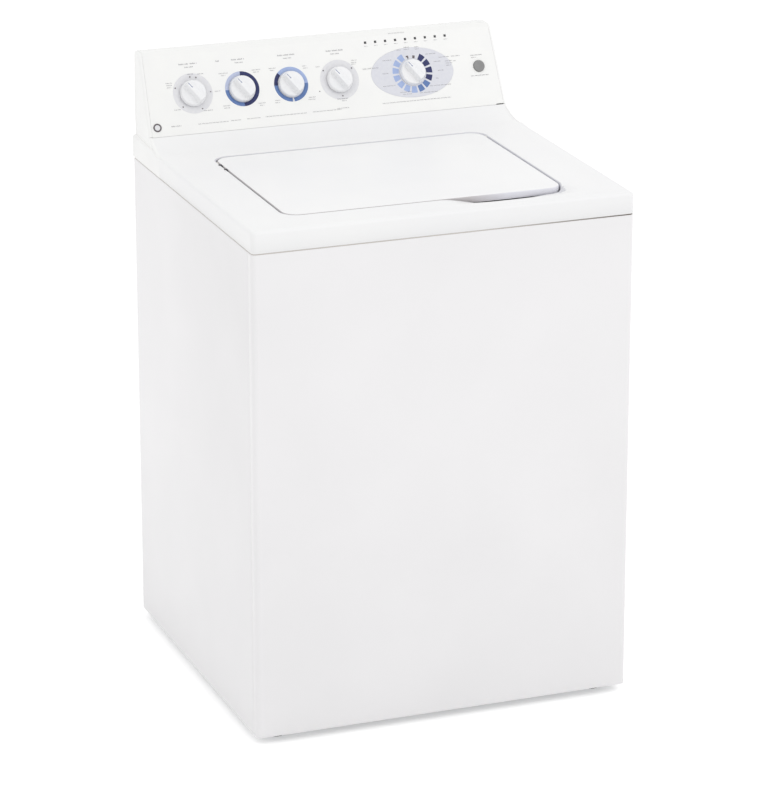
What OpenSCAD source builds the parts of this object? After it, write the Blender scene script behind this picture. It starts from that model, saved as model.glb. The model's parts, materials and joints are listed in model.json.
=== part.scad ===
// Top load washing machine, millimetres. Front faces -Y, floor at z = 0, origin under the middle of its box.

/* [Overall] */
// Width across the cabinet
width = 686; // [660:1:740]
// Depth from the front panel to the back of the console
depth = 668; // [660:1:720]
// Height from the floor to the top of the console
height = 1067; // [1050:1:1110]
// Height of the console above the work surface
console_rise = 153; // [137:1:157]

/* [Cabinet] */
// How far the console stands out behind the cabinet
console_overhang = 16; // [12:1:24]
// Gauge of the cabinet and cover sheet
sheet = 1.0; // [0.8:0.1:1.4]
// Floor to the cabinet's bottom edge
cabinet_lift = 14; // [13:1:20]
// Outside radius of the cabinet's upright corners
corner_r = 9; // [5:0.5:14]
// How far the front panel returns along each side
panel_return = 22; // [16:1:40]
// Width of the folded flanges
flange = 15; // [10:1:20]
// Height of the lip that the top cover slips over
lip_rise = 25; // [12:1:30]
// Height of the base frame's upright wall
base_wall_h = 36; // [25:1:45]
// Gauge of the base frame
base_gauge = 2; // [1.5:0.5:3]
// Side of the base frame's corner plates
corner_plate = 96; // [80:1:110]

/* [Feet] */
// Distance of each foot from the cabinet's outside faces
foot_inset = 48; // [42:1:56]
// Radius of the foot's threaded stud
stud_r = 5; // [4:0.5:6]
// Radius of the rubber pad
pad_r = 19; // [15:0.5:24]
// Thickness of the rubber pad
pad_h = 7; // [5:0.5:8]
// Height of the stud above the floor
stud_top = 52; // [40:1:70]

/* [Top cover] */
// Height of the cover's skirt
skirt = 37; // [34:1:42]
// Open seam between the skirt and the cabinet
seam_gap = 2; // [1:0.5:3]
// Radius along the cover's top edges
cover_edge_r = 6; // [3:0.5:8]
// Width of the lid
lid_w = 500; // [470:1:520]
// Distance from the lid's rear edge to the ramp
lid_to_ramp = 40; // [33:1:63]
// Radius of the lid's corners
lid_r = 27; // [20:1:34]
// Distance from the front panel to the lid's front edge
lid_front = 77; // [70:1:84]
// Sideways offset of the lid from the middle
lid_x = -5.5; // [-12:0.5:12]
// Height of the lid's folded edge
lid_edge = 12; // [10:0.5:13]
// Gap round the lid
lid_gap = 3; // [2.5:0.5:5]
// Depth of the ledge below the work surface
ledge_drop = 34; // [33:0.5:36]
// Width of the ledge under the lid's rim
ledge_w = 18; // [14:1:24]
// Depth of the rolled lip below the ledge
lip_drop = 6; // [3:0.5:6]
// Width of the finger scoop
scoop_w = 205; // [160:1:220]
// Reach of the finger scoop in front of the lid
scoop_reach = 42; // [30:1:50]
// Depth of the finger scoop
scoop_depth = 16; // [12:1:19]

/* [Lid hinge] */
// Distance of the hinge axis from the lid's rear edge
hinge_setback = 26; // [25:0.5:27]
// Radius of the hinge pins
pin_r = 3; // [2.5:0.1:3.2]
// Wall of the hinge bushes
bush_wall = 1.7; // [1.2:0.1:2]

/* [Console] */
// Distance from the back to the start of the ramp
ramp_from_back = 168; // [158:1:178]
// Distance from the back to the foot of the console face
face_from_back = 107; // [93:1:118]
// Rise of the ramp above the work surface
ramp_rise = 18; // [12:1:24]
// How far the face leans back over its height
face_lean = 70; // [60:1:75]
// Radius along the console's top front edge
brow_r = 12; // [8:1:16]
// Radius along the console's top rear edge
crown_r = 8; // [5:1:10]
// Thickness of the console face
face_wall = 2.5; // [2:0.5:3.5]
// Distance from the back to the front of the end caps
cap_from_back = 173; // [169:1:183]
// Wall of the end caps
cap_wall = 3; // [2:0.5:4]
// How far the end caps draw in towards the back
cap_taper = 7.5; // [4:0.5:12]
// How far the end caps draw in towards the top
cap_draw = 2; // [0:0.5:5]

/* [Controls] */
// Distance of the first option knob from the middle
knob_x = -247; // [-255:1:-235]
// Spacing of the option knobs
knob_pitch = 92; // [84:1:96]
// Height of the knobs up the face
knob_s = 73; // [68:1:78]
// Distance of the cycle knob from the middle
cycle_x = 169; // [160:1:178]
// Radius of a knob's round base
knob_r = 24; // [20:0.5:27]
// Thickness of a knob's round base
knob_base_h = 7; // [5:0.5:9]
// Height of a knob's grip above the face
knob_h = 21; // [17:0.5:26]
// Width of a knob's grip
grip_w = 11; // [8:0.5:14]
// Radius of a knob's stem
stem_r = 6; // [4:0.5:7]
// Outside radius of the coloured dial rings
ring_r = 32; // [29:0.5:36]
// Inside radius of the coloured dial rings
ring_bore = 25; // [24.5:0.5:28]
// Half length of the cycle plate
plate_a = 79; // [70:1:90]
// Half height of the cycle plate
plate_b = 46; // [40:1:50]
// Thickness of the dial overlays
overlay_h = 0.4; // [0.3:0.1:0.6]
// Distance of the start button from the cabinet's side
start_inset = 45; // [39:1:53]
// Radius of the start button
start_r = 10.5; // [8:0.5:13]
// Travel of the start button
start_travel = 2.5; // [1.5:0.5:4]
// Number of lamps
lamp_count = 9; // [5:1:9]
// Spacing of the lamps
lamp_pitch = 19.2; // [17:0.1:20]
// Height of the lamps up the face
lamp_s = 136; // [130:1:140]
// Side of a lamp
lamp_side = 4; // [3:0.5:5]

/* [Tub] */
// Outside radius of the outer tub
tub_r = 284; // [281:1:288]
// Wall of the outer tub
tub_wall = 3.5; // [3:0.5:5]
// Height of the tub's underside
tub_bottom = 262; // [255:1:266]
// Distance of the tub's rim below the work surface
tub_drop = 94; // [92:1:102]
// Thickness of the tub's floor
tub_floor = 6; // [5:1:8]
// Inside radius of the tub ring
tub_ring_bore = 237; // [234:1:245]

/* [Basket] */
// Outside radius of the basket
basket_r = 258; // [254:1:262]
// Gauge of the basket
basket_gauge = 1.5; // [1.2:0.1:2]
// Height of the basket's floor
basket_bottom = 286; // [284:1:290]
// Distance of the basket's rim below the work surface
basket_drop = 112; // [108:1:124]
// Inside radius of the balance ring
balance_bore = 226; // [220:1:232]
// Height of the balance ring
balance_h = 27; // [20:1:28]
// Drain holes in each row
drain_count = 12; // [8:1:16]
// Rows of drain holes
drain_rows = 3; // [2:1:4]
// Radius of a drain hole
drain_hole_r = 5; // [3:0.5:7]

/* [Agitator] */
// Radius of the agitator's skirt
agitator_r = 150; // [140:1:165]
// Radius of the agitator's column
column_r = 46; // [42:1:52]
// Distance of the agitator's shoulder below the work surface
shoulder_drop = 294; // [274:1:314]
// Radius of the neck that the auger turns on
neck_r = 30; // [26:1:34]
// Distance of the neck's top below the work surface
neck_drop = 108; // [102:1:114]
// Wall of the agitator
agitator_wall = 4; // [3:0.5:5]
// Reach of the vanes from the axis
vane_reach = 128; // [110:1:140]
// Thickness of the vanes
vane_t = 7; // [5:0.5:9]
// Reach of the auger's flights from the axis
flight_reach = 92; // [80:1:100]
// Wall of the auger's sleeve
auger_wall = 12; // [8:1:14]
// Radius of the softener cup's mouth
cup_r = 52; // [46:1:60]
// Height of the softener cup
cup_h = 56; // [40:1:60]

/* [Drive] */
// Radius of the drive shaft
shaft_r = 10; // [8:0.5:12]
// Wall of the spin tube
spin_wall = 7; // [5:0.5:8]
// Outside radius of the bearings
bearing_r = 31; // [29:0.5:33]
// Height of a bearing
bearing_h = 20; // [16:1:22]
// Height of the platform's underside
platform_z = 222; // [218:1:226]
// Gauge of the platform
platform_gauge = 3; // [2:0.5:4]
// Radius of the platform
platform_r = 240; // [232:1:246]
// Pitch radius of the drive pulley
drive_pitch_r = 76; // [66:1:80]
// Pitch radius of the motor pulley
motor_pitch_r = 19; // [17:1:24]
// Height of the belt's middle
belt_z = 99; // [97:1:101]
// Width of the belt
belt_w = 7.4; // [6:0.2:7.6]
// Thickness of the belt
belt_t = 7; // [5:0.5:7]
// Motor's place to the right of the axis
motor_dx = 150; // [146:1:156]
// Motor's place behind the axis
motor_dy = 100; // [94:1:106]
// Radius of the motor
motor_r = 62; // [55:1:64]

/* [Pump] */
// Pump's place to the left of the axis
pump_dx = 150; // [146:1:154]
// Pump's place in front of the axis
pump_dy = 110; // [106:1:114]
// Outside radius of the pump chamber
pump_r = 45; // [42:1:48]
// Wall of the pump chamber
pump_wall = 4; // [3:0.5:5]
// Bore of the pump and the hoses
hose_bore = 11; // [9:0.5:12]
// Wall of the hoses
hose_wall = 3; // [2:0.5:4]

/* [Suspension] */
// Distance of each rod from the tub's axis, along X and along Y
rod_offset = 244; // [240:1:250]
// Radius of the rods
rod_r = 5; // [4:0.5:6]
// Distance of the rods' brackets below the work surface
hanger_drop = 48; // [46:1:50]
// Height of the rod's lower cap
rod_foot_z = 250; // [240:1:256]
// Height of the tub's ears
ear_z = 372; // [365:1:385]
// Radius of the spring's wire
wire_r = 2; // [1.5:0.1:2.4]
// Mean radius of the spring
coil_r = 15; // [12.5:0.5:17]
// Turns of the spring
coil_turns = 6; // [5:1:8]

/* [Water inlet] */
// Distance of the inlet valve from the middle
valve_x = 60; // [50:1:80]
// Spacing of the two inlet threads
port_spacing = 56; // [50:1:64]
// Radius of the inlet threads
port_r = 13.3; // [12:0.1:14]
// Distance of the inlet threads below the work surface
port_drop = 64; // [60:1:69]
// Distance of the drain outlet from the middle
drain_x = -150; // [-160:1:-140]
// Distance of the drain outlet below the work surface
drain_drop = 94; // [88:1:114]

/* [Clearances] */
// Running clearance of a shaft in its bore, on the radius
run = 0.05; // [0.03:0.01:0.08]
// Gap between pieces that are fitted together
fit = 0.2; // [0.1:0.05:0.3]
// Gap between neighbours that move past each other
free = 0.4; // [0.3:0.1:0.6]

/* [Hidden] */

$fn = 48;
far = 2000;
eps = 0.01;

// Outside of the cabinet
half_w = width / 2;
deck_height = height - console_rise;
cabinet_depth = depth - console_overhang;
front_y = -depth / 2;
back_y = depth / 2;
cabinet_back = front_y + cabinet_depth;
cabinet_mid = front_y + cabinet_depth / 2;
split_y = front_y + panel_return;
skirt_z = deck_height - skirt;
cabinet_top = skirt_z - seam_gap;
lip_in = sheet + fit;
inner_in = lip_in + sheet + fit;

// Lid and its recess
lid_d = depth - ramp_from_back - lid_to_ramp - lid_front;
lid_y = front_y + lid_front + lid_d / 2;
lid_back = lid_y + lid_d / 2;
lid_base = deck_height - lid_edge;
ledge_z = deck_height - ledge_drop;
lip_z = ledge_z - lip_drop;
recess_w = lid_w + 2 * lid_gap;
recess_d = lid_d + 2 * lid_gap;
recess_r = lid_r + lid_gap;
mouth_w = recess_w - 2 * ledge_w;
mouth_d = recess_d - 2 * ledge_w;
mouth_r = 17;
hinge_y = lid_back - hinge_setback;
hinge_z = deck_height - lid_edge / 2;
bush_r = pin_r + run + bush_wall;
bush_x = lid_w / 2;
bush_len = 9;

// Console: the side outline is drawn as [y, z] points
ramp_y = back_y - ramp_from_back;
seam_y = back_y - face_from_back;
seam_z = deck_height + ramp_rise;
cap_y = back_y - cap_from_back;
ramp_run = seam_y - ramp_y;
ramp_r = (ramp_run * ramp_run + ramp_rise * ramp_rise) / (2 * ramp_rise);
ramp_turn = 2 * atan2(ramp_rise, ramp_run);
face_rise = height - seam_z;
tilt = atan2(face_lean, face_rise);
face_len = face_rise / cos(tilt);
brow_y = seam_y + face_lean;
back_lean = atan2(back_y - cabinet_back, height - deck_height);
cap_in = cap_wall + fit;

// Controls, behind and in front of the face
start_x = half_w - start_inset;
stem_depth = 18;
switch_h = 21;
switch_side = 38;
knob_lift = 2 * overlay_h + free;
lamp_x = cycle_x - 3.5;
lamp_drop = 12;

// Tub, basket and drive share one upright axis
axis_y = cabinet_mid;
tub_top = deck_height - tub_drop;
basket_top = deck_height - basket_drop;
shoulder_z = deck_height - shoulder_drop;
neck_top = deck_height - neck_drop;
hanger_z = deck_height - hanger_drop;
spin_r = shaft_r + run + spin_wall;
hub_r = 85;
hub_boss_r = 32;
hub_z = basket_bottom - 12;
spin_top = basket_bottom + 14;
spin_bottom = 140;
balance_top = basket_top + balance_h;
tub_ring_t = 4;
tub_ring_z = tub_top + 14;
tub_ring_wall = 6;
tub_ring_lip = 5;
housing_r = 48;
housing_flange_r = 90;
housing_bottom = 125;
platform_top = platform_z + platform_gauge;
upper_bearing_z = tub_bottom - bearing_h - 7;
lower_bearing_z = housing_bottom + 25;
shaft_top = 426;
shaft_bottom = 90;
skirt_top = 420;
skirt_base = basket_bottom + 6;

// Belt drive
pulley_w = 14;
groove_top_w = 11;
groove_bottom_w = 8;
groove_clear = 0.3;
pulley_rim = 1;
motor_shaft_r = 7;
motor_top = platform_z;
motor_base = 118;
pulley_base = belt_z - pulley_w / 2;

// Pump
pump_x = -pump_dx;
pump_y = axis_y - pump_dy;
chamber_z = 150;
chamber_h = 40;
pump_can_z = 100;
pump_can_r = 32;
impeller_r = 33;
pump_shaft_r = 4;
hose_r = hose_bore + hose_wall;
outlet_z = chamber_z + chamber_h / 2;
outlet_reach = 66;

// Suspension
hanger_t = 4;
rod_head_r = 11;
rod_head_h = 8;
rod_cap_r = 22;
rod_cap_h = 5;
ear_t = 8;
ear_w = 50;
ear_reach = rod_offset * sqrt(2) + 20;
ear_hole_r = 8;
cup_top_r = 16;
cup_foot_r = 20;
spring_cup_h = 20;
hanger_leg = half_w + cabinet_depth / 2 - 2 * rod_offset + 24;

// Water parts
valve_w = port_spacing + 30;
valve_d = 30;
valve_back = cabinet_back - inner_in;
port_z = deck_height - port_drop;
drain_z = deck_height - drain_drop;
hose_z = port_z + 18;
fill_r = 9;
fill_bore = 6;
spigot_y = cabinet_back - 33;
mount_start = cabinet_back + 1;
port_collar_r = port_r + 1.7;
drain_collar_r = hose_r + 2;
spigot_fall = 40;
gland_x = -230;
gland_z = port_z;
gland_r = 8;
cord_bore = 4;

// Routes of the hose and the harness
hose_route = [
  [pump_x - outlet_reach, pump_y, outlet_z], [-260, -118, 170], [-296, -80, 170], [-310, 0, 170],
  [-310, 120, 170], [-304, 210, 172], [-280, 258, 176], [-230, 280, 186], [-180, 285, 212],
  [-154, 285, 260], [drain_x, spigot_y, 330], [drain_x, spigot_y, 480], [drain_x, spigot_y, 640],
  [drain_x, spigot_y, drain_z - spigot_fall]
];
harness_x = -60;
harness_r = 6;
harness_y = cabinet_back - inner_in - harness_r - fit;
harness_route = [
  [harness_x, harness_y, deck_height + 40], [harness_x, harness_y, 700], [harness_x, harness_y, 450],
  [harness_x, harness_y, 220], [harness_x - 8, harness_y, 190], [harness_x - 34, harness_y, 168],
  [harness_x - 80, harness_y, 160]
];

// ---------------------------------------------------------------- helpers

// Rectangle with round corners, about the origin
module rounded_rect(w, d, r) {
  square([w - 2 * r, d], center = true);
  square([w, d - 2 * r], center = true);
  for (x = [-1, 1], y = [-1, 1])
    translate([x * (w / 2 - r), y * (d / 2 - r)])
      circle(r);
}

// Band of width t just inside a rounded rectangle
module rounded_band(w, d, r, t) {
  difference() {
    rounded_rect(w, d, r);
    rounded_rect(w - 2 * t, d - 2 * t, max(r - t, 0.5));
  }
}

// The cabinet's plan, drawn in from its outside face by inset
module cabinet_plan(inset) {
  translate([0, cabinet_mid])
    rounded_rect(width - 2 * inset, cabinet_depth - 2 * inset, max(corner_r - inset, 0.5));
}

// A band of the cabinet's plan between two insets
module cabinet_band(outer, inner) {
  difference() {
    cabinet_plan(outer);
    cabinet_plan(inner);
  }
}

// The half of the plan in front of the seam between front panel and wrapper, or behind it
module front_half() {
  translate([-far / 2, split_y - far])
    square(far);
}
module back_half() {
  translate([-far / 2, split_y])
    square(far);
}

module at_lid() {
  translate([lid_x, lid_y, 0])
    children();
}
module at_axis() {
  translate([0, axis_y, 0])
    children();
}
module at_pump() {
  translate([pump_x, pump_y, 0])
    children();
}
module at_motor() {
  translate([motor_dx, axis_y + motor_dy, 0])
    children();
}
module at_rods() {
  for (x = [-1, 1], y = [-1, 1])
    translate([x * rod_offset, axis_y + y * rod_offset, 0])
      children();
}
module at_feet() {
  for (x = [-1, 1], y = [-1, 1])
    translate([x * (half_w - foot_inset), cabinet_mid + y * (cabinet_depth / 2 - foot_inset), 0])
      children();
}

// A place on the console face: x across, s up the face, with +Z pointing out of the face
module on_face(x, s) {
  translate([x, seam_y + s * sin(tilt), seam_z + s * cos(tilt)])
    rotate([90 - tilt, 0, 0])
      children();
}

// A place on the outside of the console's back, with +Z pointing out of it
module on_back(x, s) {
  translate([x, cabinet_back + s * sin(back_lean), deck_height + s * cos(back_lean)])
    rotate([-90 - back_lean, 0, 0])
      children();
}

module tube(r, bore, h) {
  difference() {
    cylinder(r = r, h = h);
    translate([0, 0, -eps])
      cylinder(r = bore, h = h + 2 * eps);
  }
}

// Points of an arc about c, from angle a0 to a1
function arc(c, r, a0, a1, n = 12) =
  [for (i = [0:n]) let (a = a0 + (a1 - a0) * i / n) [c[0] + r * cos(a), c[1] + r * sin(a)]];

function reversed(list) = [for (i = [len(list) - 1:-1:0]) list[i]];
function unit(v) = v / norm(v);

// A tube along a route of points, round in section, as one closed surface
module swept_tube(route, r, sides = 12) {
  n = len(route);
  dirs = [for (i = [0:n - 1]) unit(route[min(i + 1, n - 1)] - route[max(i - 1, 0)])];
  across = [for (d = dirs) unit(cross(d, abs(d[1]) < 0.8 ? [0, 1, 0] : [1, 0, 0]))];
  rings = [for (i = [0:n - 1], k = [0:sides - 1])
    let (u = across[i], v = cross(dirs[i], u), a = 360 * k / sides)
      route[i] + r * (cos(a) * u + sin(a) * v)];
  walls = [for (i = [0:n - 2], k = [0:sides - 1])
    [i * sides + k, i * sides + (k + 1) % sides, (i + 1) * sides + (k + 1) % sides, (i + 1) * sides + k]];
  first = [for (k = [sides - 1:-1:0]) k];
  last = [for (k = [0:sides - 1]) (n - 1) * sides + k];
  polyhedron(points = rings, faces = concat([first], walls, [last]), convexity = 10);
}

// ---------------------------------------------------------------- cabinet

// Skin, shelf, lip and bottom flange that the front panel and the wrapper have in common
module cabinet_skin() {
  translate([0, 0, cabinet_lift])
    linear_extrude(cabinet_top - cabinet_lift)
      cabinet_band(0, sheet);
  translate([0, 0, cabinet_top - sheet])
    linear_extrude(sheet)
      difference() {
        cabinet_plan(0);
        cover_plan(lip_in + sheet);
      }
  translate([0, 0, cabinet_top - sheet])
    linear_extrude(lip_rise)
      difference() {
        cover_plan(lip_in);
        cover_plan(lip_in + sheet);
      }
  translate([0, 0, cabinet_lift])
    linear_extrude(sheet)
      cabinet_band(0, flange);
}

// Upright flange on each side of the seam, starting at y
module seam_flange(y) {
  for (x = [-1, 1])
    translate([x * (half_w - sheet / 2 - flange / 2), y + sheet / 2, (cabinet_lift + cabinet_top) / 2])
      cube([flange - sheet, sheet, cabinet_top - cabinet_lift], center = true);
}

// Room for both seam flanges in a piece inside the cabinet
module seam_notch(z, h) {
  for (x = [-1, 1])
    translate([x * half_w, split_y, z + h / 2])
      cube([2 * (flange + fit), 2 * (sheet + fit), h + 2 * fit], center = true);
}

base_screws = [for (x = [-1, -1 / 3, 1 / 3, 1]) x * (half_w - 60)];
base_screw_z = cabinet_lift + sheet + base_wall_h / 2;
rear_tab = 24;
console_screws = [for (x = [-1, -1 / 3, 1 / 3, 1]) x * (half_w - 50)];
console_screw_z = deck_height - rear_tab / 2;
screw_r = 2;
screw_head_r = 4.5;
screw_head_h = 3;

// Row of holes for screws that go in from the back
module back_holes(xs, z, r) {
  for (x = xs)
    translate([x, cabinet_back, z])
      rotate([90, 0, 0])
        cylinder(r = r, h = 30, center = true);
}

vent_w = 60;
vent_h = 5;
vent_x = 180;
rear_vent_x = 220;
module cabinet_wrapper() {
  color("#ebeaeb")
    difference() {
      union() {
        intersection() {
          cabinet_skin();
          linear_extrude(height)
            back_half();
        }
        seam_flange(split_y);
      }
      back_holes([for (x = [-1, 1]) valve_x + x * port_spacing / 2], port_z, port_collar_r + free);
      back_holes([drain_x], drain_z, drain_collar_r + free);
      back_holes([gland_x], gland_z, gland_r + fit);
      back_holes(base_screws, base_screw_z, screw_r + run);
      for (x = [-1, 1], i = [0:4])
        translate([x * vent_x, cabinet_back, 120 + i * 18])
          cube([vent_w, 4 * sheet, vent_h], center = true);
    }
}

module front_panel() {
  color("#f0eff1")
    union() {
      intersection() {
        cabinet_skin();
        linear_extrude(height)
          front_half();
      }
      seam_flange(split_y - sheet);
    }
}

module base_frame() {
  z = cabinet_lift + sheet;
  color("#8f9396")
    difference() {
      union() {
        translate([0, 0, z])
          linear_extrude(base_wall_h)
            cabinet_band(sheet + fit, sheet + fit + base_gauge);
        translate([0, 0, z])
          linear_extrude(base_gauge)
            cabinet_band(sheet + fit, sheet + fit + 2 * flange);
        translate([0, 0, z])
          linear_extrude(2 * base_gauge)
            intersection() {
              cabinet_plan(sheet + fit);
              for (x = [-1, 1], y = [-1, 1])
                translate([x * half_w, cabinet_mid + y * cabinet_depth / 2])
                  square(2 * corner_plate, center = true);
            }
        at_feet()
          translate([0, 0, z])
            cylinder(r = 2 * stud_r, h = 14);
      }
      at_feet()
        cylinder(r = stud_r + run, h = 60);
      seam_notch(z, base_wall_h);
      back_holes(base_screws, base_screw_z, screw_r + run);
    }
}

module levelling_feet() {
  hex_h = 2;
  color("#3a3a3c")
    at_feet() {
      cylinder(r1 = pad_r, r2 = pad_r - 3, h = pad_h);
      translate([0, 0, pad_h])
        cylinder(r = pad_r - 8, h = hex_h, $fn = 6);
      translate([0, 0, pad_h])
        cylinder(r = stud_r, h = stud_top - pad_h);
    }
}

module foot_locknuts() {
  nut_h = 4.5;
  color("#b9bcbf")
    at_feet()
      translate([0, 0, cabinet_lift + sheet - nut_h])
        difference() {
          cylinder(r = 1.8 * stud_r, h = nut_h, $fn = 6);
          translate([0, 0, -1])
            cylinder(r = stud_r + run, h = nut_h + 2, $fn = 48);
        }
}

module cabinet_screws() {
  color("#c8cacc") {
    for (x = base_screws)
      translate([x, cabinet_back, base_screw_z])
        back_screw(3 * base_gauge);
    for (x = console_screws)
      translate([x, cabinet_back + sheet + fit, console_screw_z])
        back_screw(3 * sheet);
  }
}

module back_screw(reach) {
  rotate([-90, 0, 0]) {
    cylinder(r = screw_head_r, h = screw_head_h, $fn = 6);
    translate([0, 0, -reach])
      cylinder(r = screw_r, h = reach + eps);
  }
}

// Insulating bush where the mains lead enters
module cord_gland() {
  color("#2c2c2e")
    translate([gland_x, cabinet_back, gland_z])
      rotate([-90, 0, 0])
        difference() {
          union() {
            translate([0, 0, -12])
              cylinder(r = gland_r, h = 18);
            cylinder(r = gland_r + 5, h = 3);
            translate([0, 0, -sheet - 3])
              cylinder(r = gland_r + 3, h = 3);
          }
          translate([0, 0, -20])
            cylinder(r = cord_bore, h = 40);
        }
}

// Corner brackets that carry the rods and the top cover
module suspension_brackets() {
  wall = 2;
  color("#9a9da0")
    difference() {
      intersection() {
        cover_block(sheet + fit, hanger_z);
        linear_extrude(deck_height)
          cover_plan(inner_in);
        union() {
          translate([0, 0, hanger_z])
            linear_extrude(hanger_t)
              for (x = [-1, 1], y = [-1, 1])
                translate([x * half_w, cabinet_mid + y * cabinet_depth / 2])
                  rotate(45)
                    square(hanger_leg * sqrt(2), center = true);
          linear_extrude(deck_height)
            intersection() {
              difference() {
                cover_plan(inner_in);
                cover_plan(inner_in + wall);
              }
              for (x = [-1, 1], y = [-1, 1])
                translate([x * half_w, cabinet_mid + y * cabinet_depth / 2])
                  square(2 * corner_plate, center = true);
            }
        }
      }
      seam_notch(hanger_z, cabinet_top - hanger_z);
      at_rods()
        translate([0, 0, hanger_z - 1])
          cylinder(r = rod_r + free, h = hanger_t + 2);
    }
}

// ---------------------------------------------------------------- top cover and lid

// Plan of the cover: full width in front, drawn in at the back where the end caps cover it
module cover_plan(inset) {
  intersection() {
    cabinet_plan(inset);
    union() {
      translate([-far / 2, front_y])
        square([far, cap_y - front_y - inset]);
      translate([-half_w + cap_in + inset, front_y])
        square([width - 2 * (cap_in + inset), depth]);
    }
  }
}

// Solid of the cover, with its top edges rounded at the front and the sides
module cover_block(inset, base) {
  r = cover_edge_r - inset;
  top = deck_height - inset;
  intersection() {
    translate([0, 0, base])
      linear_extrude(top - base)
        cover_plan(inset);
    translate([0, far / 2, 0])
      rotate([90, 0, 0])
        linear_extrude(far)
          translate([0, top - far / 2])
            rounded_rect(width - 2 * inset, far, r);
    rotate([90, 0, 90])
      translate([0, 0, -far / 2])
        linear_extrude(far)
          translate([front_y + inset + far / 2, top - far / 2])
            rounded_rect(far, far, r);
  }
}

// Plan of the finger scoop, in front of the lid's right-hand end
scoop_x1 = lid_x + recess_w / 2;
scoop_x0 = scoop_x1 - scoop_w;
scoop_back = lid_y - recess_d / 2 + 1;
scoop_front = front_y + lid_front - lid_gap - scoop_reach;
scoop_r = 20;
module scoop_plan(grow) {
  hull() {
    translate([scoop_x1 - scoop_r, scoop_front + scoop_r])
      circle(scoop_r + grow, $fn = 32);
    translate([scoop_x0 + 60, scoop_front + scoop_r])
      circle(scoop_r + grow, $fn = 32);
    translate([scoop_x0 - grow, scoop_back])
      square([scoop_w + 2 * grow, recess_r]);
  }
}

module ramp_outline() {
  c = [ramp_y, deck_height + ramp_r];
  upper = arc(c, ramp_r, -90, -90 + ramp_turn);
  lower = arc(c, ramp_r + sheet, -90 + ramp_turn, -90);
  polygon(concat(upper, lower));
}

// Half space inside the right-hand end cap, moved in by inset
module inside_right(inset) {
  translate([half_w - inset, cap_y, deck_height])
    rotate([0, -atan2(cap_draw, height - deck_height), atan2(cap_taper, back_y - cap_y)])
      translate([-far, -far / 2, -far / 2])
        cube(far);
}
module inside_caps(inset) {
  intersection() {
    inside_right(inset);
    mirror([1, 0, 0])
      inside_right(inset);
  }
}

module top_cover() {
  color("#f0f0f0")
    difference() {
      union() {
        difference() {
          cover_block(0, skirt_z);
          cover_block(sheet, skirt_z - 1);
          at_lid()
            translate([0, 0, ledge_z])
              linear_extrude(skirt)
                rounded_rect(recess_w, recess_d, recess_r);
          translate([0, 0, ledge_z])
            linear_extrude(skirt)
              scoop_plan(0);
          translate([-far / 2, ramp_y, deck_height - 2 * sheet])
            cube([far, ramp_run - sheet, 4 * sheet]);
        }
        // recess wall, ledge and rolled lip
        difference() {
          union() {
            at_lid()
              translate([0, 0, ledge_z - sheet])
                linear_extrude(ledge_drop)
                  rounded_rect(recess_w + 2 * sheet, recess_d + 2 * sheet, recess_r + sheet);
            translate([0, 0, deck_height - scoop_depth - sheet])
              linear_extrude(scoop_depth)
                scoop_plan(sheet);
          }
          at_lid()
            translate([0, 0, ledge_z])
              linear_extrude(skirt)
                rounded_rect(recess_w, recess_d, recess_r);
          translate([0, 0, deck_height - scoop_depth])
            linear_extrude(skirt)
              scoop_plan(0);
          at_lid()
            linear_extrude(height)
              rounded_rect(mouth_w, mouth_d, mouth_r);
        }
        at_lid()
          translate([0, 0, lip_z])
            linear_extrude(lip_drop)
              rounded_band(mouth_w + 2 * sheet, mouth_d + 2 * sheet, mouth_r + sheet, sheet);
        // ramp up to the console, and the riser behind it
        intersection() {
          union() {
            rotate([90, 0, 90])
              linear_extrude(width, center = true)
                ramp_outline();
            translate([-half_w, seam_y - sheet, deck_height - sheet])
              cube([width, sheet, ramp_rise]);
          }
          inside_caps(cap_in);
        }
      }
      at_lid()
        translate([0, hinge_y - lid_y, hinge_z])
          rotate([0, 90, 0])
            cylinder(r = bush_r + run, h = recess_w + 2 * bush_len, center = true);
      translate([harness_x, harness_y, deck_height - 10])
        cylinder(r = harness_r + fit, h = 20);
      translate([plunger_x, plunger_y, ledge_z - 10])
        cylinder(r = plunger_r + free, h = 20);
      back_holes(console_screws, console_screw_z, screw_r + run);
      for (y = edge_buffers)
        translate([lid_x - recess_w / 2, y, buffer_z])
          rotate([0, 90, 0])
            cylinder(r = buffer_r + run, h = 8, center = true);
    }
}

module lid() {
  color("#f2f2f2")
    difference() {
      at_lid()
        translate([0, 0, lid_base])
          difference() {
            linear_extrude(lid_edge)
              rounded_rect(lid_w, lid_d, lid_r);
            translate([0, 0, -sheet])
              linear_extrude(lid_edge)
                rounded_rect(lid_w - 2 * sheet, lid_d - 2 * sheet, lid_r - sheet);
          }
      translate([lid_x, hinge_y, hinge_z])
        rotate([0, 90, 0])
          cylinder(r = pin_r + run, h = lid_w, center = true);
    }
}

// Inner pan that stiffens the lid, with a raised field
liner_field = 60;
module lid_liner() {
  w = lid_w - 2 * (sheet + fit);
  d = lid_d - 2 * (sheet + fit);
  color("#ececec")
    at_lid()
      translate([0, 0, lid_base])
        difference() {
          union() {
            linear_extrude(sheet)
              rounded_rect(w, d, lid_r - sheet - fit);
            linear_extrude(2 * sheet + 1)
              rounded_rect(w - liner_field, d - liner_field, lid_r);
          }
          translate([0, 0, -1])
            linear_extrude(sheet + 2)
              rounded_rect(w - liner_field - 2 * sheet, d - liner_field - 2 * sheet, lid_r - sheet);
        }
}

module lid_hinge_pins() {
  reach = lid_gap + bush_len;
  tail = 26;
  color("#b8babc")
    for (side = [-1, 1])
      translate([lid_x + side * (lid_w / 2 + (reach - tail) / 2), hinge_y, hinge_z])
        rotate([0, 90, 0])
          cylinder(r = pin_r, h = reach + tail, center = true);
}

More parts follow.
